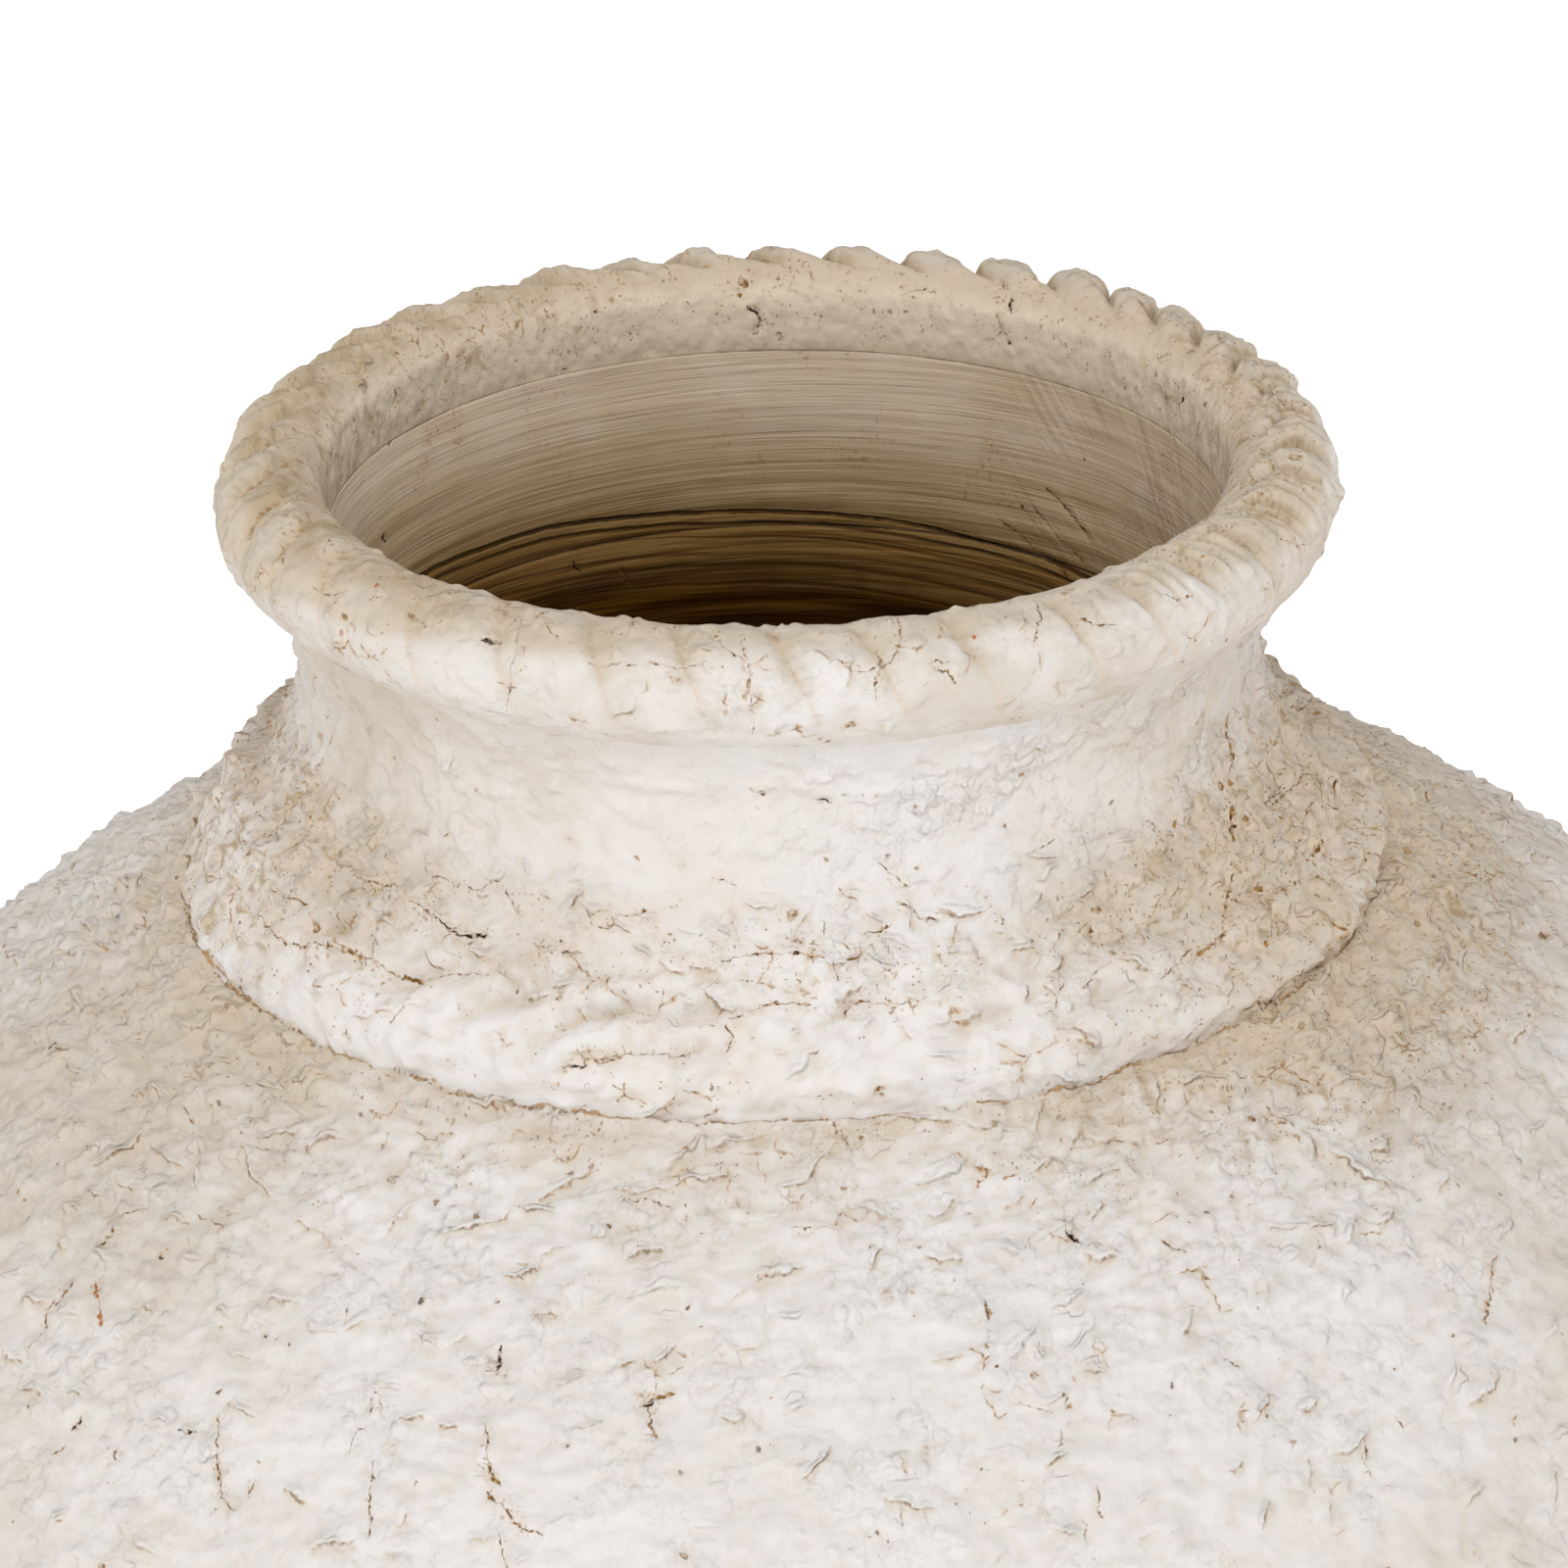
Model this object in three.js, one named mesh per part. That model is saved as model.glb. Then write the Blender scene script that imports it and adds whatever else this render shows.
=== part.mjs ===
// Large hand-built terracotta jar, whitewashed, with a rope-pressed lip and a rope-pressed collar at the foot of the neck.
// Millimetres, +Z up. The origin is the centre of the underside, so the jar stands on Z = 0. -Y is the side that faces the viewer.
//
// The jar is made the way a potter makes a big one: a floor slab, two thrown body sections luted at the belly,
// a neck whose skirt laps over a stub that rises from the shoulder, a coil pressed into the angle between the neck
// and the shoulder, and a coil laid on top of the neck and pressed into a rope. Each is a solid of its own.
// The clay joints are open by the thickness of the slip between them.
import * as THREE from "three";

// ---------------------------------------------------------------- driving dimensions
const BASE_R = 106; // outer radius of the foot, where the body's curve starts
const FLOOR_R = 103; // flat underside
const FLOOR_T = 14; // thickness of the floor slab
const BELLY_R = 245; // widest radius
const BELLY_Z = 251; // height of the widest point
const SHOULDER_H = 175; // vertical half-axis of the shoulder's ellipse above the belly
const LIP_Z = 489; // height of the middle of the lip coil
const LIP_R = 102.8; // radius of the lip coil's middle line
const LIP_T = 11.2; // half thickness of the lip coil
const ROPE_TURNS = 42; // pressed grooves round the lip
const ROPE_DEEP = 2.8; // depth of a groove
const NECK_IN_R = 88.5; // inner radius of the neck
const STUB_OUT_R = 97; // outer radius of the stub on the shoulder
const STUB_TOP = LIP_Z - 48.3; // top of the stub
const SKIRT_Z = LIP_Z - 77; // foot of the neck's skirt
const WALL = 11; // body wall
const SEAM_Z = 242; // outer edge of the joint between the body sections
const SEAM_RISE = 7; // the joint rises by this much towards the inside
const GAP = 0.35; // slip thickness at every joint
const LEAN = 0.03; // the shoulder rises towards +X by this much per mm
const DRIFT = 1.5; // the foot of the neck stands this far towards +X
const ROUND = 42; // segments round the body pieces

// ---------------------------------------------------------------- small helpers
const smooth = (a, b, x) => {
  const t = Math.min(1, Math.max(0, (x - a) / (b - a)));
  return t * t * (3 - 2 * t);
};
const V = (r, z) => new THREE.Vector2(r, z);

// The jar isn't quite true: its shoulder leans a little, and the foot of its neck stands off centre. Every piece
// gets the same warp, so the joints keep their gap.
function settle(x, y, z) {
  const drift = DRIFT * Math.exp(-(((z - 410) / 22) ** 2));
  const lean = LEAN * smooth(256, 330, z) * (1 - smooth(372, 436, z));
  return [x + drift, y, z + lean * x];
}

// A closed profile of (radius, height) turned round Z. press(angle, i, r, z) may move a profile point.
function turned(name, profile, segments, colour, press = null) {
  const g = new THREE.LatheGeometry(profile, segments);
  g.rotateX(Math.PI / 2);
  const p = g.getAttribute("position");
  const rings = profile.length;
  for (let k = 0; k < p.count; k++) {
    let x = p.getX(k);
    let y = p.getY(k);
    let z = p.getZ(k);
    if (press) {
      const r = Math.hypot(x, y);
      const a = Math.atan2(y, x);
      const [r2, z2] = press(a, k % rings, r, z);
      x = r2 * Math.cos(a);
      y = r2 * Math.sin(a);
      z = z2;
    }
    [x, y, z] = settle(x, y, z);
    p.setXYZ(k, x, y, z);
  }
  p.needsUpdate = true;
  g.computeVertexNormals();
  const mesh = new THREE.Mesh(
    g,
    new THREE.MeshStandardMaterial({ color: colour, roughness: 0.93, metalness: 0 }),
  );
  mesh.name = name;
  return mesh;
}

// ---------------------------------------------------------------- the body's outer curve
// Below the belly a cubic from the foot, above it a quarter of an ellipse, and near the neck a short concave run up to the stub.
const lower = new THREE.CubicBezierCurve(V(BASE_R, 0), V(152, 62), V(BELLY_R, 140), V(BELLY_R, BELLY_Z));
const upperAt = (r) => V(r, BELLY_Z + SHOULDER_H * Math.sqrt(Math.max(0, 1 - (r / BELLY_R) ** 2)));

// r on the lower curve at height z, by bisection
function lowerAt(z) {
  let a = 0;
  let b = 1;
  for (let i = 0; i < 40; i++) {
    const m = (a + b) / 2;
    if (lower.getPoint(m).y < z) a = m;
    else b = m;
  }
  return lower.getPoint((a + b) / 2);
}

// A point moved inwards from a curve by t, square to it.
function inset(points, i, t) {
  const a = points[Math.max(0, i - 1)];
  const b = points[Math.min(points.length - 1, i + 1)];
  const d = b.clone().sub(a).normalize();
  return V(points[i].x - d.y * t, points[i].y + d.x * t);
}

// ---------------------------------------------------------------- floor slab
const slabTop = lowerAt(FLOOR_T);
const base_slab = turned(
  "base_slab",
  [V(0, 0), V(60, 0), V(FLOOR_R, 0), V(BASE_R + 0.6, 2.4), V(lowerAt(8).x, 8), V(slabTop.x, FLOOR_T), V(60, FLOOR_T), V(0, FLOOR_T)],
  ROUND,
  0xddd5ca,
);

// ---------------------------------------------------------------- lower body section
const lowOuter = [];
const lowHeights = [FLOOR_T + GAP, 40, 68, 98, 130, 164, 202, SEAM_Z];
for (const z of lowHeights) lowOuter.push(lowerAt(z));
const lowInner = lowOuter.map((_, i) => inset(lowOuter, i, WALL + 2 * smooth(120, 20, lowOuter[i].y)));
lowInner[0] = V(lowOuter[0].x - 17, FLOOR_T + GAP);
lowInner[lowInner.length - 1] = V(BELLY_R - WALL, SEAM_Z + SEAM_RISE);
const lower_body = turned(
  "lower_body",
  [...lowOuter, ...lowInner.reverse(), lowOuter[0]],
  ROUND,
  0xddd5ca,
);

// ---------------------------------------------------------------- upper body section, with the stub that the neck stands over
const upOuter = [V(lowerAt(SEAM_Z + GAP).x, SEAM_Z + GAP), V(BELLY_R - 0.2, BELLY_Z + 14)];
for (const r of [241.5, 232, 216, 196, 176, 159]) upOuter.push(upperAt(r));
upOuter.push(V(143, 393.6), V(128, 402.3), V(117, 407.4), V(108, 410.2));
const foot = V(99.5, 411.6); // where the shoulder meets the stub, under the neck's skirt
const upInner = upOuter.map((_, i) => inset(upOuter, i, WALL));
upInner[0] = V(BELLY_R - WALL, SEAM_Z + SEAM_RISE + GAP);
const upper_body = turned(
  "upper_body",
  [
    ...upOuter,
    foot,
    V(STUB_OUT_R, 414),
    V(STUB_OUT_R, STUB_TOP - 1.5),
    V(STUB_OUT_R - 1.5, STUB_TOP),
    V(NECK_IN_R + 0.8, STUB_TOP),
    V(NECK_IN_R + 0.3, 424),
    V(NECK_IN_R + 2.5, 411),
    ...upInner.reverse().slice(1),
    upOuter[0],
  ],
  ROUND,
  0xddd5ca,
);

// ---------------------------------------------------------------- neck: a wall with a skirt that laps over the stub
const Z = LIP_Z;
const neckTop = Z - 8;
const neck = turned(
  "neck",
  [
    V(STUB_OUT_R + GAP, SKIRT_Z + 2.4),
    V(STUB_OUT_R + GAP + 3, SKIRT_Z + 0.9),
    V(108.2, SKIRT_Z + 0.3),
    V(108.8, Z - 70),
    V(106.6, Z - 62),
    V(102.6, Z - 54),
    V(99.2, Z - 46),
    V(97.8, Z - 38),
    V(98.4, Z - 29),
    V(100.6, Z - 22),
    V(104.1, Z - 15.5),
    V(109.8, neckTop),
    V(90.2, neckTop),
    V(88.9, Z - 16),
    V(NECK_IN_R, Z - 32),
    V(NECK_IN_R, STUB_TOP + GAP),
    V(STUB_OUT_R - 1.4, STUB_TOP + GAP),
    V(STUB_OUT_R + GAP, STUB_TOP - 1.3),
    V(STUB_OUT_R + GAP, SKIRT_Z + 2.4),
  ],
  ROUND,
  0xe4ddd3,
);

// ---------------------------------------------------------------- collar: a coil pressed into the angle between neck and shoulder
// Slanting finger strokes run up it to the right, deepest at the front left.
const collarProfile = [
  V(109.3, SKIRT_Z + 0.4), // foot of the inner face
  V(117, 407.4 + 0.55),
  V(121.6, 405.3 + 0.55),
  V(123.3, 408.4),
  V(122.4, 412.4),
  V(118.9, 417.4),
  V(114.2, 421.6),
  V(110.2, 425.4),
  V(109.2, 419.6),
  V(109.3, SKIRT_Z + 0.4),
];
const collar_coil = turned("collar_coil", collarProfile, 2 * ROUND, 0xe6dfd6, (a, i, r, z) => {
  if (i < 3 || i > 6) return [r, z];
  const up = (z - 404) / 22;
  const front = 0.35 + 0.65 * Math.exp(-((((a * 180) / Math.PI + 105) / 42) ** 2));
  const stroke = Math.cos(34 * a - 5.2 * up);
  const d = 0.9 * front * (0.5 - 0.5 * stroke);
  return [r - d, z - 0.4 * d];
});

// ---------------------------------------------------------------- lip: a coil on top of the neck, pressed into a rope
const lipPoints = [];
const around = 10;
lipPoints.push(V(91.4, Z - 7.6), V(110.2, Z - 7.6));
for (let i = 0; i <= around; i++) {
  // from the lower outside, over the top, to the lower inside
  const a = -0.6 + ((Math.PI + 0.86) * i) / around;
  const rx = LIP_T;
  const rz = a < 0 ? LIP_T + 1.2 : LIP_T;
  lipPoints.push(V(LIP_R + rx * Math.cos(a), Z + rz * Math.sin(a)));
}
lipPoints.push(V(91.4, Z - 7.6));
const LIP_ROUND = 4 * ROUND;
const lip_coil = turned("lip_coil", lipPoints, LIP_ROUND, 0xe2dacf, (a, i, r, z) => {
  if (i < 3 || i > around) return [r, z];
  const q = Math.atan2(z - Z, r - LIP_R); // place on the section: 0 faces out, 90 degrees is the top
  const groove = (0.5 + 0.5 * Math.cos(ROPE_TURNS * a + 2.4 * q)) ** 2.2;
  const where = Math.exp(-(((q - 1.15) / 0.95) ** 2));
  const d = ROPE_DEEP * groove * where;
  return [r - d * Math.cos(q), z - d * Math.sin(q)];
});

const vase = new THREE.Group();
vase.add(base_slab, lower_body, upper_body, neck, collar_coil, lip_coil);

export default vase;
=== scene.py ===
"""A large whitewashed clay jar. Every CAD piece is replaced by a surface of the same shape, worked in mesh code down
to the thumb presses, wash lumps, cracks and pits. Lengths below are millimetres unless a name says otherwise."""
import math

import bmesh
import bpy
import numpy as np
from mathutils import Matrix, Vector


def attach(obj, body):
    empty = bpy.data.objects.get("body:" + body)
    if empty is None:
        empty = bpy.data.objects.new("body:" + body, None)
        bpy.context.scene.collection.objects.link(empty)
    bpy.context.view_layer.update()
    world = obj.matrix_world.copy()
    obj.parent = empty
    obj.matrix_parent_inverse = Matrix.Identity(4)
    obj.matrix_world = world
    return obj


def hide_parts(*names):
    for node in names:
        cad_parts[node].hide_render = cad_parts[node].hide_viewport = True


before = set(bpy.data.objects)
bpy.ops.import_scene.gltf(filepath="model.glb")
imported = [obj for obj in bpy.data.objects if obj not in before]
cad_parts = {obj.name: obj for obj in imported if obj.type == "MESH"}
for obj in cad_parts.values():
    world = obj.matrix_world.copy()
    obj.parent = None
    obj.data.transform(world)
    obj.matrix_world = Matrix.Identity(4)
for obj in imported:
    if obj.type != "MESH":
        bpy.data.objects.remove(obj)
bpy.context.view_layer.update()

MM = 0.001

# ---------------------------------------------------------------- camera: the photograph's viewing angle
LIP_Z = 489.0
CAM_DIST, CAM_RISE, CAM_PITCH, CAM_YAW, CAM_ROLL, CAM_FOCAL = 1298.0, 22.32, 25.07, 0.02, -1.09, 6500.0


def place_camera():
    rise, pitch, yaw, roll = (math.radians(v) for v in (CAM_RISE, CAM_PITCH, CAM_YAW, CAM_ROLL))
    spot = Vector((0, -CAM_DIST * math.cos(rise), LIP_Z + CAM_DIST * math.sin(rise))) * MM
    ahead = Vector((math.sin(yaw) * math.cos(pitch), math.cos(yaw) * math.cos(pitch), -math.sin(pitch)))
    right = ahead.cross(Vector((0, 0, 1))).normalized()
    up = right.cross(ahead)
    c, s = math.cos(roll), math.sin(roll)
    right, up = c * right + s * up, c * up - s * right
    data = bpy.data.cameras.new("camera")
    data.sensor_fit = "HORIZONTAL"
    data.sensor_width = 36
    data.lens = 36 * CAM_FOCAL / 1600
    data.clip_start, data.clip_end = 0.05, 30
    cam = bpy.data.objects.new("camera", data)
    bpy.context.scene.collection.objects.link(cam)
    m = Matrix((right, up, -ahead)).transposed().to_4x4()
    m.translation = spot
    cam.matrix_world = m
    bpy.context.scene.camera = cam


# ---------------------------------------------------------------- noise on arrays of points
_rng = np.random.default_rng(411)
_perm = _rng.permutation(256)
PERM = np.concatenate([_perm, _perm, _perm])
_g = _rng.normal(size=(256, 3))
GRAD = (_g / np.linalg.norm(_g, axis=1, keepdims=True)).astype(np.float32)


def perlin(p, seed=0):
    """Gradient noise, roughly -1 to 1, at points p of shape (..., 3)."""
    shape = p.shape[:-1]
    p = p.reshape(-1, 3) + np.array([17.13, 5.71, 9.37]) * (seed + 1)
    i = np.floor(p).astype(np.int64)
    f = (p - i).astype(np.float32)
    w = f * f * f * (f * (f * 6 - 15) + 10)
    i &= 255
    out = np.zeros(len(p), np.float32)
    for dx in (0, 1):
        hx = PERM[(i[:, 0] + dx + seed) & 255]
        wx = w[:, 0] if dx else 1 - w[:, 0]
        for dy in (0, 1):
            hy = PERM[hx + ((i[:, 1] + dy) & 255)]
            wy = w[:, 1] if dy else 1 - w[:, 1]
            for dz in (0, 1):
                g = GRAD[PERM[hy + ((i[:, 2] + dz) & 255)]]
                wz = w[:, 2] if dz else 1 - w[:, 2]
                dot = (f[:, 0] - dx) * g[:, 0] + (f[:, 1] - dy) * g[:, 1] + (f[:, 2] - dz) * g[:, 2]
                out += dot * (wx * wy * wz)
    return (out * 1.9).reshape(shape)


def fbm(p, size, octaves, seed=0, gain=0.5):
    """Layered noise whose largest lumps are about size wide."""
    total, amp, norm = 0.0, 1.0, 0.0
    for k in range(octaves):
        total = total + amp * perlin(p * (2.03**k / size), seed + 7 * k)
        norm += amp
        amp *= gain
    return total / norm


def smooth(a, b, x):
    t = np.clip((x - a) / (b - a), 0, 1)
    return t * t * (3 - 2 * t)


def overlaps(p, size, seed=0, sheets=3):
    """Low humps that lap over each other, with a sharp crease where two meet."""
    h = perlin(p / size, seed)
    for k in range(1, sheets):
        h = np.maximum(h, perlin(p / (size * (0.85 + 0.17 * k)), seed + 13 * k))
    return h


def scales(p, size, skew, seed=0):
    """Lapping humps whose lower edge is steep and whose upper side runs out gently."""
    first = overlaps(p, size, seed, 2)
    return overlaps(p + np.stack([0 * first, 0 * first, skew * first], -1), size, seed, 2)


def angle_gap(a, b):
    """Signed difference a - b of two angles in degrees."""
    return (a - b + 180) % 360 - 180


# ---------------------------------------------------------------- profiles
BASE_R, FLOOR_R, FLOOR_T = 106.0, 103.0, 14.0
BELLY_R, BELLY_Z, SHOULDER_H = 245.0, 251.0, 175.0
LIP_R, LIP_T = 102.8, 11.2
SEAM_Z = 242.0
DRIFT, LEAN = 1.5, 0.03


def settle(p):
    """The jar's own lean and drift, the same for every piece."""
    x, y, z = p[..., 0], p[..., 1], p[..., 2]
    drift = DRIFT * np.exp(-(((z - 410) / 22) ** 2))
    lean = LEAN * smooth(256, 330, z) * (1 - smooth(372, 436, z))
    return np.stack([x + drift, y, z + lean * x], -1)


def lower_at(z):
    t = np.linspace(0, 1, 4001)
    c = ((1 - t) ** 3, 3 * t * (1 - t) ** 2, 3 * t * t * (1 - t), t**3)
    cz = c[0] * 0 + c[1] * 62 + c[2] * 140 + c[3] * BELLY_Z
    cr = c[0] * BASE_R + c[1] * 152 + c[2] * BELLY_R + c[3] * BELLY_R
    return np.interp(z, cz, cr)


def upper_at(r):
    return BELLY_Z + SHOULDER_H * np.sqrt(np.maximum(0, 1 - (np.asarray(r) / BELLY_R) ** 2))


def inset(points, t):
    p = np.array(points, float)
    d = np.gradient(p, axis=0)
    d /= np.linalg.norm(d, axis=1, keepdims=True)
    return p + np.stack([-d[:, 1], d[:, 0]], 1) * np.reshape(t, (-1, 1))


def spline(points, step):
    """Points on a smooth curve through the given ones, about step apart (step may be a pair: start, end)."""
    p = np.array(points, float)
    ext = np.vstack([2 * p[0] - p[1], p, 2 * p[-1] - p[-2]])
    fine = []
    for k in range(len(p) - 1):
        a, b, c, d = ext[k : k + 4]
        t = np.linspace(0, 1, 40, endpoint=False)[:, None]
        fine.append(0.5 * (2 * b + (c - a) * t + (2 * a - 5 * b + 4 * c - d) * t**2 + (3 * b - a - 3 * c + d) * t**3))
    return along(np.vstack(fine + [p[-1:]]), step)


def along(p, step):
    p = np.array(p, float)
    s = np.concatenate([[0], np.cumsum(np.linalg.norm(np.diff(p, axis=0), axis=1))])
    a, b = step if isinstance(step, tuple) else (step, step)
    marks = [0.0]
    while marks[-1] < s[-1]:
        u = marks[-1] / s[-1]
        marks.append(marks[-1] + a + (b - a) * u)
    m = np.array(marks) * (s[-1] / marks[-1])
    return np.stack([np.interp(m, s, p[:, 0]), np.interp(m, s, p[:, 1])], 1)


def profile(*legs):
    """Joins (zone, points) legs into one closed profile. Zones: o outside, i inside, h hidden in a joint."""
    pts, zone = [], []
    for z, p in legs:
        pts.append(p[:-1])
        zone += [z] * (len(p) - 1)
    return np.vstack(pts), np.array(zone)


def ring_blur(a, times):
    for _ in range(times):
        a = (np.roll(a, 1, 0) + 2 * a + np.roll(a, -1, 0)) / 4
    return a


def blur(h, rows, cols):
    """Mean over a window of a (rings, columns) grid that is closed both ways."""
    for axis, n in ((0, rows), (1, cols)):
        acc = h.copy()
        for k in range(1, n + 1):
            acc += np.roll(h, k, axis) + np.roll(h, -k, axis)
        h = acc / (2 * n + 1)
    return h


class Surface:
    """A closed grid of rings round Z: base points, normals, flow coordinates and zone weights."""

    def __init__(self, prof, azimuth, flow_r):
        (self.p, self.zone), self.a = prof, azimuth
        r, z = self.p[:, 0], self.p[:, 1]
        d = np.roll(self.p, -1, 0) - np.roll(self.p, 1, 0)
        d /= np.maximum(np.linalg.norm(d, axis=1, keepdims=True), 1e-9)
        area = 0.5 * np.sum(r * np.roll(z, -1) - np.roll(r, -1) * z)
        side = 1.0 if area > 0 else -1.0
        n = np.stack([d[:, 1], -d[:, 0]], 1) * side
        self.forward = side > 0
        self.s = np.concatenate([[0], np.cumsum(np.linalg.norm(np.diff(self.p, axis=0), axis=1))])
        ca, sa = np.cos(azimuth), np.sin(azimuth)
        self.base = np.stack([r[:, None] * ca, r[:, None] * sa, np.broadcast_to(z[:, None], (len(r), len(ca)))], -1)
        self.n = np.stack([n[:, :1] * ca, n[:, :1] * sa, np.broadcast_to(n[:, 1:], (len(r), len(ca)))], -1)
        self.flow = np.stack(
            [np.broadcast_to(flow_r * ca, self.base.shape[:2]), np.broadcast_to(flow_r * sa, self.base.shape[:2]), np.broadcast_to(self.s[:, None], self.base.shape[:2])],
            -1,
        )
        self.out = ring_blur((self.zone == "o").astype(float), 2)[:, None]
        self.ins = ring_blur((self.zone == "i").astype(float), 2)[:, None]
        self.deg = np.degrees(azimuth)[None, :]
        self.r, self.z = r[:, None], z[:, None]
        self.h = np.zeros(self.base.shape[:2])
        self.attrs = {}

    def points(self):
        p = settle(self.base + self.n * self.h[..., None])
        p[..., 2] = np.maximum(p[..., 2], 0.0)
        return p * MM


def build(name, surf, node, outside, inside=None):
    """Writes a surface out as a mesh object that replaces a CAD node."""
    m, n = surf.base.shape[:2]
    idx = np.arange(m * n).reshape(m, n)
    a, b = idx, np.roll(idx, -1, 1)
    c, d = np.roll(b, -1, 0), np.roll(idx, -1, 0)
    quads = np.stack([a, b, c, d] if surf.forward else [a, d, c, b], -1).reshape(-1, 4)
    pts = surf.points().reshape(-1, 3).astype(np.float32)
    me = bpy.data.meshes.new(name)
    me.vertices.add(len(pts))
    me.vertices.foreach_set("co", pts.ravel())
    me.loops.add(quads.size)
    me.loops.foreach_set("vertex_index", quads.ravel().astype(np.int32))
    me.polygons.add(len(quads))
    me.polygons.foreach_set("loop_start", np.arange(0, quads.size, 4, dtype=np.int32))
    me.update(calc_edges=True)
    me.validate()
    me.shade_smooth()
    surf.attrs.setdefault("flow", surf.flow)
    for key, val in surf.attrs.items():
        val = np.asarray(val, np.float32)
        vector = val.ndim == 3
        at = me.attributes.new(key, "FLOAT_VECTOR" if vector else "FLOAT", "POINT")
        at.data.foreach_set("vector" if vector else "value", np.broadcast_to(val, (m, n, 3) if vector else (m, n)).ravel().astype(np.float32))
    ob = bpy.data.objects.new(name, me)
    bpy.context.scene.collection.objects.link(ob)
    me.materials.append(outside)
    if inside is not None:
        me.materials.append(inside)
        ring_in = (surf.zone == "i") & (np.roll(surf.zone, -1) == "i")
        me.polygons.foreach_set("material_index", np.repeat(ring_in.astype(np.int32), n))
    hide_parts(node)
    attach(ob, "root")
    return ob


def close_axis(me):
    """Welds the small rings round the axis into a point each, so that the floor has no hole in its middle, and
    gives the middle of the floor the material of the floor round it."""
    bm = bmesh.new()
    bm.from_mesh(me)
    near = [v for v in bm.verts if math.hypot(v.co.x, v.co.y) < 0.0008]
    for v in near:
        v.co.x = v.co.y = 0.0
    bmesh.ops.remove_doubles(bm, verts=near, dist=5e-5)
    bmesh.ops.delete(bm, geom=[e for e in bm.edges if not e.link_faces], context="EDGES")
    bmesh.ops.delete(bm, geom=[v for v in bm.verts if not v.link_faces], context="VERTS")
    middle, floor = [], []
    for f in bm.faces:
        c = f.calc_center_median()
        if c.z > 0.010:
            (middle if math.hypot(c.x, c.y) < 0.006 else floor if math.hypot(c.x, c.y) < 0.05 else []).append(f)
    for f in middle:
        f.material_index = floor[0].material_index
    bm.to_mesh(me)
    bm.free()

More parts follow.
